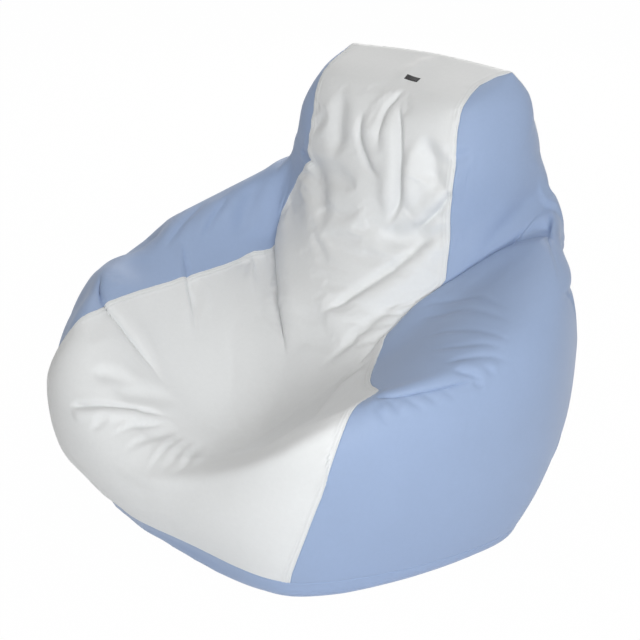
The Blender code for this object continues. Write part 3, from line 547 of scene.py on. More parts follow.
def make_cover(settings):
    """Fills the map of the cover, once."""
    form = skin(map_places[:-1], map_stations)
    points = slide_seams(add_folds(form, swells + folds, settings.fold_scale))
    sunk = np.sum((form - add_folds(form, swells)) * normals(form), axis=2, keepdims=True)
    cover["sunk"] = blur(np.maximum(sunk, 0), 6)
    form = slide_seams(form)
    columns = np.arange(0, len(map_places) - 1, cloth_step)
    rows = np.arange(0, len(map_stations), cloth_step)
    around, up = np.meshgrid(map_places[columns], map_stations[rows], indexing="ij")
    taut = smooth((from_strip(around) - 0.95) / 0.1)
    slack = slackness(around, up)
    hold = hold_weights(map_places[columns], map_stations[rows])
    move = settle(form[np.ix_(columns, rows)], hold, taut, settings) * slack[:, :, None]
    around, up = np.meshgrid(map_places[:-1], map_stations, indexing="ij")
    places = np.append(map_places[columns], rails)
    points = points + sample(move, around, up, places, map_stations[rows])
    points[:, :, 2] = np.maximum(points[:, :, 2], 0)
    cover["form"], cover["form_normals"] = form, normals(form)
    cover["points"], cover["normals"] = points, normals(points)


# ---------------------------------------------------------------- materials


def new_material(name, colour, roughness, metallic=0.0):
    finish = bpy.data.materials.new(name)
    finish.use_nodes = True
    shader = finish.node_tree.nodes["Principled BSDF"]
    shader.inputs["Base Color"].default_value = (*colour, 1)
    shader.inputs["Roughness"].default_value = roughness
    shader.inputs["Metallic"].default_value = metallic
    return finish, finish.node_tree, shader


def node(tree, kind, settings=(), **values):
    item = tree.nodes.new(kind)
    for key, value in dict(settings).items():
        setattr(item, key, value)
    for key, value in values.items():
        item.inputs[key.replace("_", " ")].default_value = value
    return item


def ramp(tree, source, low, high, start=0.0, end=1.0):
    """A value read between two others."""
    item = node(tree, "ShaderNodeMapRange")
    for key, value in (("From Min", start), ("From Max", end), ("To Min", low), ("To Max", high)):
        item.inputs[key].default_value = value
    tree.links.new(source, item.inputs["Value"])
    return item.outputs["Result"]


def maths(tree, operation, a, b):
    item = node(tree, "ShaderNodeMath", {"operation": operation})
    for socket, value in zip(item.inputs, (a, b)):
        if isinstance(value, (int, float)):
            socket.default_value = value
        else:
            tree.links.new(value, socket)
    return item.outputs[0]


def seen_rays(tree):
    """1 for rays that show the background: from the camera, off metal and through glass."""
    path = node(tree, "ShaderNodeLightPath")
    shown = maths(tree, "ADD", path.outputs["Is Camera Ray"], path.outputs["Is Glossy Ray"])
    return maths(tree, "ADD", shown, path.outputs["Is Transmission Ray"])


def whiten(tree, plain, white, share, output):
    """Mixes a share of plain white into a shader, on its way to the output."""
    white.inputs["Color"].default_value = (1, 1, 1, 1)
    mix = node(tree, "ShaderNodeMixShader")
    tree.links.new(share, mix.inputs["Fac"])
    tree.links.new(plain.outputs[0], mix.inputs[1])
    tree.links.new(white.outputs[0], mix.inputs[2])
    tree.links.new(mix.outputs["Shader"], tree.nodes[output].inputs["Surface"])


def woven(name, colour, roughness, pitch, depth, sheen, blotch=0.06):
    """Woven cloth: threads both ways at a pitch, uneven dye, faint soil and a soft sheen."""
    finish, tree, shader = new_material(name, colour, roughness)
    link = tree.links.new
    place = node(tree, "ShaderNodeUVMap", {"uv_map": "cloth"})
    bands = []
    for direction in ("X", "Y"):
        wave = node(tree, "ShaderNodeTexWave", {"wave_type": "BANDS", "bands_direction": direction},
                    Scale=math.pi / 10 / pitch, Distortion=0.35, Detail=1.0, Detail_Scale=1.5)
        link(place.outputs["UV"], wave.inputs["Vector"])
        bands.append(wave.outputs["Fac"])
    threads = maths(tree, "MULTIPLY", *bands)
    fuzz = node(tree, "ShaderNodeTexNoise", Scale=900.0, Detail=2.0, Roughness=0.6)
    link(place.outputs["UV"], fuzz.inputs["Vector"])
    relief = maths(tree, "ADD", threads, maths(tree, "MULTIPLY", fuzz.outputs["Fac"], 0.5))
    bump = node(tree, "ShaderNodeBump", Strength=0.5, Distance=depth)
    link(relief, bump.inputs["Height"])
    where = node(tree, "ShaderNodeTexCoord")
    soil = node(tree, "ShaderNodeTexNoise", Scale=5.0, Detail=4.0, Roughness=0.55)
    link(where.outputs["Object"], soil.inputs["Vector"])
    grain = node(tree, "ShaderNodeTexNoise", Scale=140.0, Detail=2.0, Roughness=0.5)
    link(where.outputs["Object"], grain.inputs["Vector"])
    slub = node(tree, "ShaderNodeBump", Strength=0.25, Distance=depth * 2)
    link(grain.outputs["Fac"], slub.inputs["Height"])
    link(bump.outputs["Normal"], slub.inputs["Normal"])
    link(slub.outputs["Normal"], shader.inputs["Normal"])
    shade = maths(tree, "ADD", ramp(tree, soil.outputs["Fac"], 1 - blotch, 1.0, 0.3, 0.7),
                  ramp(tree, threads, -0.03, 0.01))
    shade = maths(tree, "ADD", shade, ramp(tree, grain.outputs["Fac"], -0.02, 0.02))
    dye = node(tree, "ShaderNodeMix", {"data_type": "RGBA", "blend_type": "MULTIPLY"})
    dye.inputs["Factor"].default_value = 1
    dye.inputs[6].default_value = (*colour, 1)
    link(shade, dye.inputs[7])
    link(dye.outputs[2], shader.inputs["Base Color"])
    link(ramp(tree, soil.outputs["Fac"], roughness - 0.05, roughness + 0.06), shader.inputs["Roughness"])
    shader.inputs["Sheen Weight"].default_value = sheen
    shader.inputs["Sheen Roughness"].default_value = 0.45
    shader.inputs["Specular IOR Level"].default_value = 0.35
    return finish


def raise_by(tree, shader, height, strength, distance, invert=False):
    """Fine relief on a shader, from a value."""
    bump = node(tree, "ShaderNodeBump", {"invert": invert}, Strength=strength, Distance=distance)
    tree.links.new(height, bump.inputs["Height"])
    tree.links.new(bump.outputs["Normal"], shader.inputs["Normal"])


def metal(name, colour, roughness):
    """Metal with fine drawn lines, which also vary its roughness."""
    finish, tree, shader = new_material(name, colour, roughness, 1.0)
    where = node(tree, "ShaderNodeTexCoord")
    stretch = node(tree, "ShaderNodeMapping")
    stretch.inputs["Scale"].default_value = (60, 900, 900)
    tree.links.new(where.outputs["Object"], stretch.inputs["Vector"])
    lines = node(tree, "ShaderNodeTexNoise", Scale=2.0, Detail=3.0)
    tree.links.new(stretch.outputs["Vector"], lines.inputs["Vector"])
    raise_by(tree, shader, lines.outputs["Fac"], 0.2, 0.00005)
    tree.links.new(ramp(tree, lines.outputs["Fac"], roughness - 0.08, roughness + 0.15), shader.inputs["Roughness"])
    return finish


def twisted(name, colour, roughness, pitch):
    """Thread, with its twist as slanted bands."""
    finish, tree, shader = new_material(name, colour, roughness)
    where = node(tree, "ShaderNodeTexCoord")
    twist = node(tree, "ShaderNodeTexWave", {"wave_type": "BANDS", "bands_direction": "DIAGONAL"},
                 Scale=math.pi / 10 / pitch, Distortion=0.5)
    tree.links.new(where.outputs["Object"], twist.inputs["Vector"])
    raise_by(tree, shader, twist.outputs["Fac"], 0.4, pitch / 8)
    tree.links.new(ramp(tree, twist.outputs["Fac"], roughness + 0.1, roughness - 0.05), shader.inputs["Roughness"])
    shader.inputs["Sheen Weight"].default_value = 0.2
    return finish


def plastic(name, colour, roughness):
    finish, tree, shader = new_material(name, colour, roughness)
    where = node(tree, "ShaderNodeTexCoord")
    spots = node(tree, "ShaderNodeTexNoise", Scale=700.0, Detail=2.0)
    tree.links.new(where.outputs["Object"], spots.inputs["Vector"])
    raise_by(tree, shader, spots.outputs["Fac"], 0.15, 0.00008)
    tree.links.new(ramp(tree, spots.outputs["Fac"], roughness - 0.1, roughness + 0.1), shader.inputs["Roughness"])
    return finish


def beads(name, colour):
    """Foam beads packed side by side."""
    finish, tree, shader = new_material(name, colour, 0.8)
    where = node(tree, "ShaderNodeTexCoord")
    cells = node(tree, "ShaderNodeTexVoronoi", {"feature": "SMOOTH_F1"}, Scale=220.0)
    tree.links.new(where.outputs["Object"], cells.inputs["Vector"])
    raise_by(tree, shader, cells.outputs["Distance"], 0.8, 0.002, invert=True)
    return finish


finishes = {
    "white": (woven, "white cloth", (0.80, 0.815, 0.825), 0.55, 0.0009, 0.00012, 0.10, 0.03),
    "blue": (woven, "pale blue cloth", (0.335, 0.435, 0.640), 0.55, 0.0009, 0.00012, 0.12, 0.05),
    "liner": (woven, "lining", (0.72, 0.72, 0.70), 0.8, 0.0007, 0.0001, 0.05),
    "webbing": (woven, "webbing", (0.70, 0.72, 0.74), 0.65, 0.0022, 0.0005, 0.15),
    "tape": (woven, "zip tape", (0.62, 0.66, 0.72), 0.7, 0.0010, 0.0002, 0.1),
    "tab": (woven, "dark tab", (0.012, 0.012, 0.014), 0.55, 0.0005, 0.0001, 0.2),
    "thread": (twisted, "white thread", (0.78, 0.79, 0.79), 0.5, 0.0006),
    "dark thread": (twisted, "dark thread", (0.02, 0.02, 0.022), 0.5, 0.0004),
    "steel": (metal, "stainless steel", (0.60, 0.60, 0.60), 0.28),
    "teeth": (plastic, "moulded teeth", (0.70, 0.73, 0.76), 0.4),
    "beads": (beads, "foam beads", (0.85, 0.85, 0.84)),
}
made = {}


def material(name):
    """One of the scene's materials, made when it is first asked for."""
    if name not in made:
        maker, *values = finishes[name]
        made[name] = maker(*values)
    return made[name]


# ---------------------------------------------------------------- building pieces


def place_grid(bm, mesh, columns, rows, front, back):
    """Writes a flat grid to a mesh with its points in place: the grid in front and its copy, lower down, behind."""
    bm.to_mesh(mesh)
    flat = np.empty(len(mesh.vertices) * 3)
    mesh.vertices.foreach_get("co", flat)
    flat = flat.reshape(-1, 3)
    i = np.rint((flat[:, 0] + 1) / 2 * (columns - 1)).astype(int)
    j = np.rint((flat[:, 1] + 1) / 2 * (rows - 1)).astype(int)
    behind = flat[:, 2] < -0.5
    points = front[i, j]
    if back is not None:
        points = np.where(behind[:, None], back[i, j], points)
    mesh.vertices.foreach_set("co", points.astype(np.float32).reshape(-1))
    return i, j


def mark_cloth(mesh, marks, i, j):
    """Gives each corner its place in the flat cloth, in metres."""
    layer = mesh.uv_layers.new(name="cloth")
    corner = np.empty(len(mesh.loops), dtype=np.int32)
    mesh.loops.foreach_get("vertex_index", corner)
    layer.data.foreach_set("uv", marks[i[corner], j[corner]].astype(np.float32).reshape(-1))


def new_piece(name, mesh, finish, nodes=()):
    """One object from a mesh, riding on the bag, with its material and slot."""
    mesh.shade_smooth()
    mesh.materials.append(material(finish))
    item = bpy.data.objects.new(name, mesh)
    bpy.context.scene.collection.objects.link(item)
    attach(item, "bag")
    if nodes:
        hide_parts(*nodes)
    return item


def copy_all(bm, shift):
    """A copy of everything in a bmesh, moved aside."""
    copied = bmesh.ops.duplicate(bm, geom=bm.verts[:] + bm.edges[:] + bm.faces[:])["geom"]
    fresh = [item for item in copied if isinstance(item, bmesh.types.BMVert)]
    bmesh.ops.translate(bm, verts=fresh, vec=shift)
    return copied


def copy_behind(bm):
    """A copy of a grid behind it, facing the other way."""
    copied = copy_all(bm, (0, 0, -1))
    bmesh.ops.reverse_faces(bm, faces=[item for item in copied if isinstance(item, bmesh.types.BMFace)])
    return copied


def shell(name, outer, inner, marks, finish, nodes):
    """A closed sheet: a grid, its copy behind it and the edge that joins the two."""
    columns, rows = outer.shape[:2]
    middle = (outer - inner)[columns // 2, rows // 2]
    i, j = max(columns // 2 - 1, 0), max(rows // 2 - 1, 0)
    turn = np.cross(outer[i + 1, j] - outer[i, j], outer[i, j + 1] - outer[i, j])
    if turn @ middle < 0:
        outer, inner, marks = outer[::-1], inner[::-1], marks[::-1]
    bm = bmesh.new()
    bmesh.ops.create_grid(bm, x_segments=columns - 1, y_segments=rows - 1, size=1)
    rim = [edge for edge in bm.edges if edge.is_boundary]
    copied = copy_behind(bm)
    far_rim = [item for item in copied if isinstance(item, bmesh.types.BMEdge) and item.is_boundary]
    bmesh.ops.bridge_loops(bm, edges=rim + far_rim)
    bmesh.ops.recalc_face_normals(bm, faces=bm.faces[:])
    mesh = bpy.data.meshes.new(name)
    i, j = place_grid(bm, mesh, columns, rows, outer, inner)
    bm.free()
    mark_cloth(mesh, marks, i, j)
    return new_piece(name, mesh, finish, nodes)


hem_low = 0.015  # an open edge above this height is the hem's, one below it the base's middle


def round_shell(name, nets, marks, finish, nodes):
    """A closed form from one or two nets that run all round the bag, filled at their open ends."""
    columns, rows = nets[0].shape[:2]
    bm = bmesh.new()
    bmesh.ops.create_grid(bm, x_segments=columns - 1, y_segments=rows - 1, size=1)
    if len(nets) > 1:
        copy_behind(bm)
    mesh = bpy.data.meshes.new(name)
    i, j = place_grid(bm, mesh, columns, rows, nets[0], nets[-1])
    mark_cloth(mesh, marks, i, j)
    bm.free()
    bm = bmesh.new()
    bm.from_mesh(mesh)
    bmesh.ops.remove_doubles(bm, verts=[vert for vert in bm.verts if vert.is_boundary], dist=1e-6)
    edges = [edge for edge in bm.edges if edge.is_boundary]
    if len(nets) > 1:
        hem = [edge for edge in edges if edge.verts[0].co.z > hem_low]
        bmesh.ops.bridge_loops(bm, edges=hem)
        edges = [edge for edge in bm.edges if edge.is_boundary]
    bmesh.ops.holes_fill(bm, edges=edges)
    bmesh.ops.recalc_face_normals(bm, faces=bm.faces[:])
    bm.to_mesh(mesh)
    bm.free()
    return new_piece(name, mesh, finish, nodes)


def spread(width, edges, count):
    """Distances across a panel: fine at both edges and even between them."""
    edges = np.array(edges)
    reach = np.minimum(1, width / (2.6 * edges[-1]))[..., None]
    left = edges * reach
    middle = np.linspace(0, 1, count + 2)[1:-1]
    inner = left[..., -1:] + middle * (width[..., None] - 2 * left[..., -1:])
    return np.concatenate([left, inner, width[..., None] - left[..., ::-1]], axis=-1)


def lay_out(start, end, ups, edges, count):
    """Places across a panel in each row, their distance from the nearer seam, and each point's place in the cloth."""
    probe = np.linspace(start, end, 161)
    net = sample(cover["form"], *np.meshgrid(probe, ups, indexing="ij"))
    run = lengths(net)
    across = spread(run[-1], edges, count).T
    around = np.stack([np.interp(across[:, j], run[:, j], probe) for j in range(len(ups))], axis=1)
    middle = net[len(probe) // 2]
    climb = lengths(middle)
    up = np.broadcast_to(ups, around.shape)
    near = np.minimum(across, run[-1] - across)
    marks = np.stack([across - run[-1] / 2, np.broadcast_to(climb, across.shape)], axis=2)
    return around, up, near, marks


def pucker(along, seed):
    """A sewn edge's small uneven waves."""
    waves = ((0.011, 1.0), (0.0173, 0.8), (0.031, 0.9), (0.0067, 0.5))
    total = 0
    for k, (wave, size) in enumerate(waves):
        total = total + size * np.sin(along * 2 * math.pi / wave + seed * (k + 1.7))
    return total / 3


def felled(near, along, settings, seed):
    """The strip's sewn edge: a raised fold with two rows of stitches, turned down at its rim."""
    rim, wide = settings.seam_rim, settings.seam_width
    raised = settings.seam_rise * (1 - smooth((near - wide) / 0.005))
    turned = rounded(near, rim)
    rows = sum(np.exp(-(((near - row) / 0.0014) ** 2)) for row in (settings.stitch_row, settings.stitch_row_far))
    waves = settings.pucker * pucker(along, seed) * np.exp(-near / 0.011)
    return (raised + settings.seam_drop) * turned - settings.seam_drop - 0.0007 * rows * turned + waves


def butted(near, along, settings, seed):
    """The side's edge, which dips under the strip's."""
    waves = settings.pucker * pucker(along, seed) * np.exp(-near / 0.013)
    return -settings.seam_drop * np.clip(1 - near / 0.0028, 0, 1) ** 2 + waves


seam_edges = (0, 0.0003, 0.0007, 0.0012, 0.0018, 0.0025, 0.0032, 0.0040, 0.0052, 0.0068, 0.0082, 0.0092, 0.0100,
              0.0108, 0.0120, 0.0138, 0.0160, 0.0190, 0.0225)
plain_edges = (0, 0.0006, 0.0013, 0.0022, 0.0034, 0.0050, 0.0070, 0.0095, 0.0125, 0.0160, 0.0200)
hem_steps = np.array((0, 0.008, 0.02, 0.036, 0.06, 0.09, 0.13, 0.17))
slot_margin, slot_fade, slot_height = 0.007, 0.004, 0.0075  # the zip's slot past the chain's ends, and below the hem


def panel_rows(count):
    """Stations up a panel, finer at the hem."""
    rows = np.linspace(0, last_station, count + 1)
    return np.concatenate([hem_steps, rows[rows > hem_steps[-1] + 0.05]])


def hem_dip(up, depth):
    """The hem, where the panels turn into the seam with the base."""
    return -depth * np.clip(1 - up / 0.045, 0, 1) ** 2


def add_panel(name, start, end, rows, columns, edge, finish, settings, seed):
    """One of the four upright panels."""
    ups = panel_rows(rows)
    edges = seam_edges if edge is felled else plain_edges
    around, up, near, marks = lay_out(start, end, ups, edges, columns)
    side = np.where(np.arange(len(around)) < len(around) / 2, 0.0, 2.6)[:, None]
    lift = edge(near, marks[:, :, 1] + side, settings, seed)
    lift = lift + hem_dip(up, settings.seam_drop)
    if edge is felled:
        cross = (last_station - up) * 0.12
        lift = lift - settings.seam_drop * np.clip(1 - cross / 0.0035, 0, 1) ** 2
        lift = lift + settings.pucker * pucker(marks[:, :, 0], seed + 3) * np.exp(-cross / 0.012)
    outer = on_cover(around, up, lift)
    inner = on_cover(around, up, np.minimum(lift, 0) - settings.thickness)
    outer[:, :, 2] = np.maximum(outer[:, :, 2], 0.0005)
    inner[:, :, 2] = np.maximum(inner[:, :, 2], 0.0015)
    item = shell(name + "_cloth", outer, inner, marks, finish, [name])
    return item


# ---------------------------------------------------------------- stitches

# Pitch, length of one stitch and radius of its thread
tab_thread, strap_thread, patch_thread = (0.0020, 0.0016, 0.00018), (0.0034, 0.0028, 0.0004), (0.0032, 0.0026, 0.00035)

def repeat_shape(name, bm, spots, turns):
    """A mesh with one shape at each spot, turned and sized by the rows of its own matrix."""
    gap, copies = 4, 1
    while copies < len(spots):
        copy_all(bm, (gap * copies, 0, 0))
        copies *= 2
    spare = [vert for vert in bm.verts if vert.co.x > gap * (len(spots) - 0.5)]
    bmesh.ops.delete(bm, geom=spare, context="VERTS")
    mesh = bpy.data.meshes.new(name)
    bm.to_mesh(mesh)
    bm.free()
    flat = np.empty(len(mesh.vertices) * 3)
    mesh.vertices.foreach_get("co", flat)
    flat = flat.reshape(-1, 3)
    which = np.rint(flat[:, 0] / gap).astype(int)
    flat[:, 0] -= gap * which
    placed = np.array(spots)[which] + np.einsum("nk,nkc->nc", flat, np.array(turns)[which])
    mesh.vertices.foreach_set("co", placed.astype(np.float32).reshape(-1))
    return mesh


def add_stitches(name, runs, finish="thread"):
    """Rows of stitches: each a short rounded thread that dips at both ends. A run gives points and normals."""
    spots, turns = [], []
    for points, normal, pitch, length, radius in runs:
        run = lengths(points)
        count = max(int(run[-1] / pitch), 1)
        middles = (np.arange(count) + 0.5) * run[-1] / count

        def at(values, where):
            return np.stack([np.interp(where, run, values[:, k]) for k in range(3)], axis=-1)

        ahead = at(points, np.minimum(middles + 0.001, run[-1])) - at(points, np.maximum(middles - 0.001, 0))
        ahead = unit(ahead)
        aside = unit(np.cross(at(normal, middles), ahead))
        spots.append(at(points, middles))
        turns.append(np.stack([aside * radius, np.cross(ahead, aside) * radius * 0.8, ahead * length / 2], axis=1))
    bm = bmesh.new()
    bmesh.ops.create_uvsphere(bm, u_segments=6, v_segments=5, radius=1)
    mesh = repeat_shape(name, bm, np.concatenate(spots), np.concatenate(turns))
    return new_piece(name, mesh, finish)


def seam_run(place, side, distance, lift, start=0.06, end=12.96, count=900):
    """A line that follows a seam at a distance, on the side of it that the strip lies."""
    up = np.linspace(start, end, count)
    probe = np.linspace(0, 0.6, 61)
    around, ups = np.meshgrid(place + side * probe, up, indexing="ij")
    net = sample(cover["form"], around, ups)
    run = lengths(net)
    around = np.array([np.interp(distance, run[:, j], place + side * probe) for j in range(count)])
    points = on_cover(around, up, np.full(count, lift))
    return points, unit(sample(cover["normals"], around, up))


# ---------------------------------------------------------------- settings and operators


def plain_setting(name, description, default, **kind):
    """A setting that a user can change."""
    return bpy.props.FloatProperty(name=name, description=description, default=default, **kind)


def length_setting(name, description, default):
    """A setting in metres."""
    return plain_setting(name, description, default, unit="LENGTH")


def angle_setting(name, description, degrees):
    """A setting for an angle."""
    return plain_setting(name, description, math.radians(degrees), subtype="ANGLE")


class BeanBagCover(bpy.types.PropertyGroup):
    """The cover's cloth, folds and seams."""

    thickness: length_setting("Cloth thickness", "Thickness of the coated cloth", 0.0012)
    fold_scale: plain_setting("Fold depth", "Depth of the drawn folds, where 1 is as drawn", 1.0)
    pressure: plain_setting("Filling pressure", "Pressure of the filling in the simulation", 2.0)
    slack: plain_setting("Slack", "How much larger the cloth is cut than the form, as a share", 0.025)
    most_move: length_setting("Most move", "Furthest that the simulation may move the cloth", 0.012)
    frames: bpy.props.IntProperty(name="Frames", description="Length of the simulation in frames", default=20)
    seam_width: length_setting("Seam width", "Width of the raised seam", 0.0115)
    seam_rise: length_setting("Seam rise", "How far the layers under the seam raise it", 0.0011)
    seam_rim: length_setting("Seam rim", "Width of the seam's rounded rim", 0.0014)
    seam_drop: length_setting("Seam drop", "How deep the cloth turns into the seam", 0.0012)
    stitch_row: length_setting("First row", "Distance of the first row of stitches from the seam", 0.0032)
    stitch_row_far: length_setting("Second row", "Distance of the second row of stitches from the seam", 0.0100)
    stitch_pitch: length_setting("Stitch pitch", "Distance from one stitch to the next", 0.0040)
    stitch_length: length_setting("Stitch length", "Length of one stitch", 0.0033)
    thread_radius: length_setting("Thread radius", "Half the thickness of the thread", 0.0004)
    pucker: length_setting("Pucker", "Height of the small waves along the seams", 0.00045)


class BeanBagTrim(bpy.types.PropertyGroup):
    """The handle, the zip and the tab."""

    webbing_width: length_setting("Webbing width", "Width of the handle's webbing", 0.030)
    webbing_thickness: length_setting("Webbing thickness", "Thickness of the handle's webbing", 0.0024)
    half_span: length_setting("Half span", "Half the handle's free length", 0.075)
    rise: length_setting("Rise", "How far the handle stands off the bag", 0.032)
    end_length: length_setting("Sewn end", "Length of each sewn end of the handle", 0.034)
    patch_margin: length_setting("Patch margin", "Width of the patch round each sewn end", 0.006)
    tooth_pitch: length_setting("Tooth pitch", "Distance between the zip's teeth", 0.0026)
    zip_tilt: angle_setting("Zip tilt", "How far the zip leans from upright", 24.115)
    tab_length: length_setting("Tab length", "Length of the blank tab", 0.030)
    tab_height: length_setting("Tab height", "Height of the blank tab", 0.013)


class BeanBagStage(bpy.types.PropertyGroup):
    """The floor, the lights and the camera."""

    distance: length_setting("Camera distance", "Distance of the camera from its target", 2.6)
    azimuth: angle_setting("Azimuth", "Turn of the camera round the bag", 37.3)
    elevation: angle_setting("Elevation", "Height of the camera as an angle", 24.7)
    lens: plain_setting("Lens", "Focal length in millimetres", 79.3)
    key_power: plain_setting("Key light", "Power of the large light", 49.0)
    sky: plain_setting("Sky", "Strength of the light from all round", 0.335)


class BEANBAG_OT_cover(bpy.types.Operator):
    """Lays out the cover's form, its folds and its drape"""

    bl_idname = "beanbag.cover"
    bl_label = "Lay out the cover"

    def execute(self, context):
        make_cover(context.scene.bean_bag_cover)
        return {"FINISHED"}


class BEANBAG_OT_strips(bpy.types.Operator):
    """Builds the white strip over the front and down the back"""

    bl_idname = "beanbag.strips"
    bl_label = "White strips"

    def execute(self, context):
        settings = context.scene.bean_bag_cover
        add_panel("front_panel", -1, 1, 470, 120, felled, "white", settings, 1)
        add_panel("back_panel", 3, 5, 240, 90, felled, "white", settings, 2)
        return {"FINISHED"}


class BEANBAG_OT_sides(bpy.types.Operator):
    """Builds the two blue sides"""

    bl_idname = "beanbag.sides"
    bl_label = "Blue sides"

    def execute(self, context):
        settings = context.scene.bean_bag_cover
        add_panel("right_side_panel", 1, 3, 248, 170, butted, "blue", settings, 1)
        add_panel("left_side_panel", 5, 7, 248, 165, butted, "blue", settings, 2)
        return {"FINISHED"}


class BEANBAG_OT_base(bpy.types.Operator):
    """Builds the base, whose edge curls up to the hem"""

    bl_idname = "beanbag.base"
    bl_label = "Base"

    def execute(self, context):
        settings = context.scene.bean_bag_cover
        around = np.linspace(0, rails, 641)
        ups = np.concatenate([np.linspace(-2, -0.2, 28), [-0.14, -0.09, -0.06, -0.04, -0.024, -0.012, -0.004, 0]])
        u, v = np.meshgrid(around, ups, indexing="ij")
        chain = node_points("zip_chain_lower")[:, 0]
        hem = on_cover(u, 0 * v)[:, :, 0]
        beyond = np.abs(hem - (chain.min() + chain.max()) / 2) - (chain.max() - chain.min()) / 2
        slot = smooth((slot_margin - beyond) / slot_fade) * (np.abs(u - 4) < 1) * smooth((v + 0.5) / 0.5)
        near = -v * 0.05
        lift = -settings.seam_drop * np.clip(1 - near / 0.0024, 0, 1) ** 2
        outer = on_cover(u, v, lift)
        inner = on_cover(u, v, lift - settings.thickness)
        drop = on_cover(u, v - 0.02) - on_cover(u, v)
        drop /= np.maximum(np.linalg.norm(drop, axis=2, keepdims=True), 1e-9)
        outer, inner = (net + drop * (slot_height * slot)[:, :, None] for net in (outer, inner))
        outer[:, :, 2] = np.maximum(outer[:, :, 2], 0)
        inner[:, :, 2] = np.maximum(inner[:, :, 2], settings.thickness)
        shares = np.array((0.05, 0.2, 0.4, 0.6, 0.8))
        middle = outer[:, :1] * shares[None, :, None]
        outer = np.concatenate([middle, outer], axis=1)
        inner = np.concatenate([middle + (0, 0, settings.thickness), inner], axis=1)
        item = round_shell("base_panel_cloth", (outer, inner), outer[:, :, :2], "blue", ["base_panel"])
        return {"FINISHED"}


class BEANBAG_OT_inside(bpy.types.Operator):
    """Builds the liner and its filling, inside the cover"""

    bl_idname = "beanbag.inside"
    bl_label = "Liner and filling"

    def execute(self, context):
        around = np.linspace(0, rails, 97)
        ups = np.concatenate([np.linspace(-2, 0, 6), np.linspace(0.4, 12.4, 61)])
        u, v = np.meshgrid(around, ups, indexing="ij")
        out = unit(sample(cover["form_normals"], u, v))
        form = sample(cover["form"], u, v)
        liners = ["inner_liner_front", "inner_liner_back", "inner_liner_base"]
        for name, depth, finish, slot, nodes in (
            ("liner_cloth", liner_depth, "liner", "liner", liners),
            ("foam_beads", bead_depth, "beads", "beads", ["bead_filling"]),
        ):
            net = form - out * (depth + sample(cover["sunk"], u, v))
            net[:, :, 2] = np.maximum(net[:, :, 2], depth / 4)
            item = round_shell(name, (net,), net[:, :, [0, 2]], finish, nodes)
        return {"FINISHED"}


class BEANBAG_OT_seams(bpy.types.Operator):
    """Sews two rows of stitches along each edge of the white strip"""

    bl_idname = "beanbag.seams"
    bl_label = "Stitches"

    def execute(self, context):
        settings = context.scene.bean_bag_cover
        size = (settings.stitch_pitch, settings.stitch_length, settings.thread_radius)
        front, back = ((-1, 1), (1, -1)), ((3, 1), (5, -1))
        for name, seams, count in (("front_stitches", front, 900), ("back_stitches", back, 500)):
            runs = []
            for place, side in seams:
                for row in (settings.stitch_row, settings.stitch_row_far):
                    runs.append((*seam_run(place, side, row, settings.seam_rise, count=count), *size))
            add_stitches(name, runs)
        return {"FINISHED"}


class BEANBAG_OT_tab(bpy.types.Operator):
    """Sews the small blank tab near the top of the strip"""

    bl_idname = "beanbag.tab"
    bl_label = "Blank tab"

    def execute(self, context):
        trim = context.scene.bean_bag_trim
        place, station = place_near(middle_of("blank_tab"), (-0.3, 0.6), (12.0, 12.9))
        xs = np.linspace(-trim.tab_length / 2, trim.tab_length / 2, 25)
        ys = np.linspace(-trim.tab_height / 2, trim.tab_height / 2, 13)
        around, up = local_places(place, station, xs, ys)
        rim = np.minimum(trim.tab_length / 2 - np.abs(xs)[:, None], trim.tab_height / 2 - np.abs(ys)[None, :])
        lift = 0.0003 + 0.0008 * rounded(rim, 0.0008)
        stitched = np.minimum(np.abs(np.abs(xs)[:, None] - trim.tab_length / 2 + 0.0022) / 0.0007, 1) ** 2
        lift = lift - 0.00015 * (1 - stitched)
        marks = np.stack(np.meshgrid(xs, ys, indexing="ij"), axis=2)
        shell("blank_tab_cloth", on_cover(around, up, lift), on_cover(around, up, 0 * lift - 0.0001), marks, "tab",
              ["blank_tab"])
        runs = []
        for x in (-trim.tab_length / 2 + 0.0022, trim.tab_length / 2 - 0.0022):
            line = local_places(place, station, np.array([x]), ys[1:-1])
            points = on_cover(*line, np.full(line[0].shape, 0.0011))[0]
            normal = sample(cover["normals"], *line)[0]
            runs.append((points, normal, *tab_thread))
        add_stitches("blank_tab_stitches", runs, "dark thread")
        return {"FINISHED"}


def middle_of(name):
    """The middle of a CAD node's box."""
    low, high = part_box(name)
    return (Vector(low) + Vector(high)) / 2


def place_near(spot, places, stations):
    """The place and station of the cover that lie nearest to a spot."""
    around, up = np.meshgrid(np.linspace(*places, 120), np.linspace(*stations, 120), indexing="ij")
    away = np.linalg.norm(on_cover(around, up) - np.array(spot), axis=2)
    best = np.unravel_index(np.argmin(away), away.shape)
    return around[best], up[best]


def local_places(place, station, xs, ys):
    """Places for a small piece that lies flat on the cover: xs across the bag and ys up it, in metres."""
    sign = 1 if 2 < place < 6 else -1
    step = 0.02
    wide = np.linalg.norm(on_cover(place + step, station) - on_cover(place - step, station)) / (2 * step)
    tall = np.linalg.norm(on_cover(place, station + step) - on_cover(place, station - step)) / (2 * step)
    return np.meshgrid(place - sign * xs / wide, station + ys / tall, indexing="ij")


def straight_run(station, start, end, lift, thread):
    """A straight line of stitches near the handle, between two points of the flat cloth."""
    share = np.linspace(0, 1, 20)
    xs, ys = (a + (b - a) * share for a, b in zip(start, end))
    around, up = (np.diagonal(net) for net in local_places(4, station, xs, ys))
    return on_cover(around, up, np.full(len(share), lift)), sample(cover["normals"], around, up), *thread


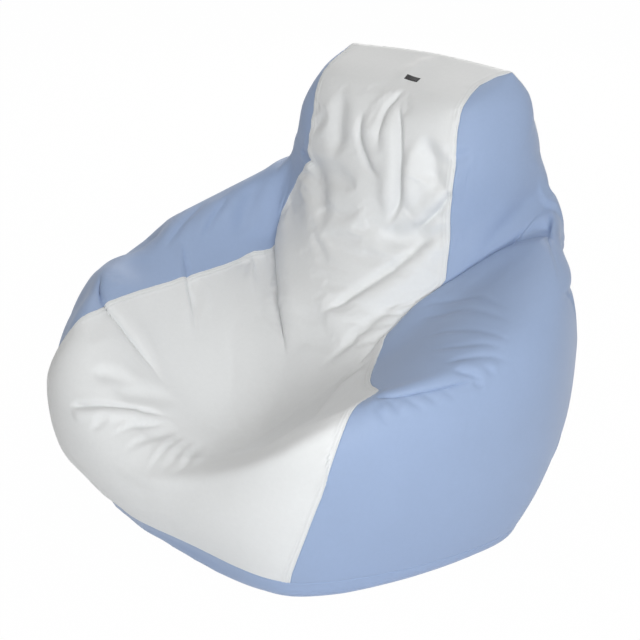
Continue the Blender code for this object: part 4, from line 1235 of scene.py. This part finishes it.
class BEANBAG_OT_handle(bpy.types.Operator):
    """Builds the webbing handle and its two patches on the back of the head"""

    bl_idname = "beanbag.handle"
    bl_label = "Carry handle"

    def execute(self, context):
        trim = context.scene.bean_bag_trim
        station = place_near(middle_of("handle_patch_left"), (3.2, 4.8), (9.8, 10.9))[1]
        half = trim.webbing_width / 2
        total = trim.half_span + trim.end_length
        rows = np.linspace(-half, half, 17)
        arch = np.linspace(-trim.half_span, trim.half_span, 61)
        sewn = np.linspace(trim.half_span, total, 16)
        xs = np.concatenate([-sewn[:0:-1], arch, sewn[1:]])
        hump = np.where(np.abs(xs) < trim.half_span, (1 + np.cos(xs / trim.half_span * math.pi)) / 2, 0)
        base = 0.0012 + 2 * 0.0003
        lift = np.sqrt(np.maximum(hump, 0)) * trim.rise + base
        rim = half - np.abs(rows)
        full = 0.35 + 0.65 * rounded(rim, 0.0016)
        ribs = 0.00018 * np.cos(rows / half * math.pi * 6)
        thick = trim.webbing_thickness * full + ribs
        middle = lift[:, None] + trim.webbing_thickness / 2
        around, up = local_places(4, station, xs, rows)
        marks = np.stack(np.meshgrid(xs, rows, indexing="ij"), axis=2)
        outer = on_cover(around, up, middle + thick[None, :] / 2)
        inner = on_cover(around, up, middle - thick[None, :] / 2)
        shell("carry_handle_webbing", outer, inner, marks, "webbing", ["carry_handle"])
        reach = half + trim.patch_margin
        runs = []
        for name, side in (("handle_patch_left", 1), ("handle_patch_right", -1)):
            px = side * np.linspace(trim.half_span - trim.patch_margin, total + trim.patch_margin, 33)
            py = np.linspace(-reach, reach, 29)
            pu, pv = local_places(4, station, px, py)
            edge = np.minimum(
                (total - trim.half_span) / 2 + trim.patch_margin
                - np.abs(px - side * (trim.half_span + total) / 2)[:, None],
                reach - np.abs(py)[None, :],
            )
            round_edge = rounded(edge, 0.0012)
            marks = np.stack(np.meshgrid(px, py, indexing="ij"), axis=2)
            shell(name + "_cloth", on_cover(pu, pv, 0.0003 + 0.0012 * round_edge),
                  on_cover(pu, pv, 0 * edge + 0.0001), marks, "white", [name])
            inset = 0.003
            x0, x1 = side * (trim.half_span + inset), side * (total - inset)
            box = ((x0, -half + inset), (x1, -half + inset), (x1, half - inset), (x0, half - inset))
            top = base + trim.webbing_thickness + 0.0001
            for ends in (*zip(box, box[1:] + box[:1]), (box[0], box[2]), (box[1], box[3])):
                runs.append(straight_run(station, *ends, top, strap_thread))
            outline = 0.0025
            x0 = side * (trim.half_span - trim.patch_margin + outline)
            x1 = side * (total + trim.patch_margin - outline)
            y = reach - outline
            box = ((x0, -y), (x1, -y), (x1, y), (x0, y))
            for start, end in zip(box, box[1:] + box[:1]):
                under_strap = start[0] == end[0] and abs(start[0]) < trim.half_span
                if not under_strap:
                    runs.append(straight_run(station, start, end, 0.0016, patch_thread))
        add_stitches("handle_stitches", runs)
        return {"FINISHED"}


class BEANBAG_OT_zip(bpy.types.Operator):
    """Builds the zip's tapes and teeth, and gives its metal pieces their finish"""

    bl_idname = "beanbag.zip"
    bl_label = "Zip"

    def execute(self, context):
        trim = context.scene.bean_bag_trim
        for name in ("zip_slider", "zip_pull_tab", "zip_top_stop_upper", "zip_top_stop_lower", "zip_bottom_stop"):
            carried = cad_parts[name]
            carried.data.materials.clear()
            carried.data.materials.append(material("steel"))
        up = np.array((0, math.sin(trim.zip_tilt), math.cos(trim.zip_tilt)))
        out = np.array((0, up[2], -up[1]))
        turn = np.array(((1, 0, 0), up, out))
        for number, side in enumerate(("upper", "lower")):
            spots = node_points("zip_chain_" + side) @ turn.T
            low, high = spots.min(0), spots.max(0)
            bm = bmesh.new()
            bmesh.ops.create_cube(bm, size=1)
            bmesh.ops.bevel(bm, geom=bm.edges[:], offset=0.12, affect="EDGES", segments=2, profile=0.5, material=-1)
            places = np.arange(low[0] + trim.tooth_pitch * (0.5 + number / 2), high[0] - trim.tooth_pitch / 2,
                               trim.tooth_pitch)
            middle = (low + high) / 2
            centres = [(x, middle[1], middle[2]) @ turn for x in places]
            size = np.array((trim.tooth_pitch * 0.66, high[1] - low[1], high[2] - low[2]))
            mesh = repeat_shape("zip_teeth_" + side, bm, centres, [turn * size[:, None]] * len(places))
            new_piece("zip_teeth_" + side, mesh, "teeth", ["zip_chain_" + side])
            self.tape("zip_tape_" + side, turn)
        return {"FINISHED"}

    def tape(self, name, turn):
        """A woven copy of the tape, with ribs along it."""
        bm = bmesh.new()
        bm.from_mesh(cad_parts[name].data)
        bmesh.ops.remove_doubles(bm, verts=bm.verts[:], dist=1e-6)
        bmesh.ops.subdivide_edges(bm, edges=[edge for edge in bm.edges if edge.calc_length() > 0.004], cuts=3,
                                  use_grid_fill=True)
        bmesh.ops.recalc_face_normals(bm, faces=bm.faces[:])
        layer = bm.loops.layers.uv.new("cloth")
        for face in bm.faces:
            for loop in face.loops:
                loop[layer].uv = (loop.vert.co.x, np.array(loop.vert.co) @ turn[1])
        mesh = bpy.data.meshes.new(name + "_weave")
        bm.to_mesh(mesh)
        bm.free()
        new_piece(name + "_weave", mesh, "tape", [name])


def node_points(name):
    """The corners of a CAD node's mesh."""
    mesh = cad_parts[name].data
    points = np.empty(len(mesh.vertices) * 3)
    mesh.vertices.foreach_get("co", points)
    return points.reshape(-1, 3)


look_at = Vector((0, 0, 0.35))  # the point that the camera and the lamps face


class BEANBAG_OT_stage(bpy.types.Operator):
    """Sets the floor, the soft lights and the camera"""

    bl_idname = "beanbag.stage"
    bl_label = "Stage"

    def execute(self, context):
        stage = context.scene.bean_bag_stage
        scene = context.scene
        bm = bmesh.new()
        bmesh.ops.create_grid(bm, x_segments=8, y_segments=8, size=14)
        mesh = bpy.data.meshes.new("floor")
        bm.to_mesh(mesh)
        bm.free()
        floor = bpy.data.objects.new("floor", mesh)
        scene.collection.objects.link(floor)
        finish, tree, shader = new_material("pale floor", (0.86, 0.86, 0.86), 0.9)
        glow = node(tree, "ShaderNodeEmission", Strength=1.0)
        whiten(tree, shader, glow, maths(tree, "MULTIPLY", seen_rays(tree), 0.99), "Material Output")
        mesh.materials.append(finish)

        world = bpy.data.worlds.new("studio")
        world.use_nodes = True
        scene.world = world
        tree = world.node_tree
        sky = tree.nodes["Background"]
        sky.inputs["Color"].default_value = (1.0, 0.975, 0.94, 1)
        sky.inputs["Strength"].default_value = stage.sky
        white = node(tree, "ShaderNodeBackground", Strength=1.0)
        whiten(tree, sky, white, seen_rays(tree), "World Output")

        for name, spot, size, power, colour in (
            ("key light", (2.2, -2.2, 1.2), 1.4, stage.key_power, (0.97, 0.99, 1)),
            ("top light", (1.2, -0.6, 2.9), 1.4, stage.key_power * 0.34, (1, 0.99, 0.97)),
            ("back light", (-1.6, 2.6, 1.6), 2.2, stage.key_power * 0.8, (1, 0.99, 0.98)),
        ):
            lamp = bpy.data.lights.new(name, "AREA")
            lamp.shape, lamp.size, lamp.energy, lamp.color = "DISK", size, power, colour
            item = bpy.data.objects.new(name, lamp)
            scene.collection.objects.link(item)
            item.location = spot
            item.rotation_euler = (look_at - Vector(spot)).to_track_quat("-Z", "Y").to_euler()

        camera = bpy.data.cameras.new("camera")
        camera.lens = stage.lens
        camera.sensor_width = 36
        camera.shift_x, camera.shift_y = -0.0050, -0.0108
        item = bpy.data.objects.new("camera", camera)
        scene.collection.objects.link(item)
        flat = math.cos(stage.elevation)
        back = Vector((math.sin(stage.azimuth) * flat, -math.cos(stage.azimuth) * flat, math.sin(stage.elevation)))
        item.location = look_at + back * stage.distance
        item.rotation_euler = (-back).to_track_quat("-Z", "Y").to_euler()
        scene.camera = item
        scene.view_settings.view_transform = "Standard"
        return {"FINISHED"}


class BEANBAG_PT_panel(bpy.types.Panel):
    """The sidebar panel with every setting and button"""

    bl_idname = "BEANBAG_PT_panel"
    bl_label = "Bean bag"
    bl_space_type = "VIEW_3D"
    bl_region_type = "UI"
    bl_category = "Bean bag"

    def draw(self, context):
        layout = self.layout
        for holder in (context.scene.bean_bag_cover, context.scene.bean_bag_trim, context.scene.bean_bag_stage):
            column = layout.column(align=True)
            for name in holder.__annotations__:
                column.prop(holder, name)
        for operator in operators:
            layout.operator(operator.bl_idname)


operators = (
    BEANBAG_OT_stage, BEANBAG_OT_cover, BEANBAG_OT_strips, BEANBAG_OT_sides, BEANBAG_OT_base, BEANBAG_OT_inside,
    BEANBAG_OT_seams, BEANBAG_OT_tab, BEANBAG_OT_handle, BEANBAG_OT_zip,
)
groups = (BeanBagCover, BeanBagTrim, BeanBagStage)


def register():
    for item in (*groups, *operators, BEANBAG_PT_panel):
        bpy.utils.register_class(item)
    bpy.types.Scene.bean_bag_cover = bpy.props.PointerProperty(type=BeanBagCover)
    bpy.types.Scene.bean_bag_trim = bpy.props.PointerProperty(type=BeanBagTrim)
    bpy.types.Scene.bean_bag_stage = bpy.props.PointerProperty(type=BeanBagStage)


def unregister():
    del bpy.types.Scene.bean_bag_stage, bpy.types.Scene.bean_bag_trim, bpy.types.Scene.bean_bag_cover
    for item in reversed((*groups, *operators, BEANBAG_PT_panel)):
        bpy.utils.unregister_class(item)


def plain(bounds):
    """Corners as plain lists."""
    return [[float(x) for x in corner] for corner in bounds]


def main():
    register()
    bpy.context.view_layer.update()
    bpy.ops.beanbag.stage()
    bpy.ops.beanbag.cover()
    bpy.ops.beanbag.strips()
    bpy.ops.beanbag.sides()
    bpy.ops.beanbag.base()
    bpy.ops.beanbag.inside()
    bpy.ops.beanbag.seams()
    bpy.ops.beanbag.tab()
    bpy.ops.beanbag.handle()
    bpy.ops.beanbag.zip()


if __name__ == "__main__":
    main()
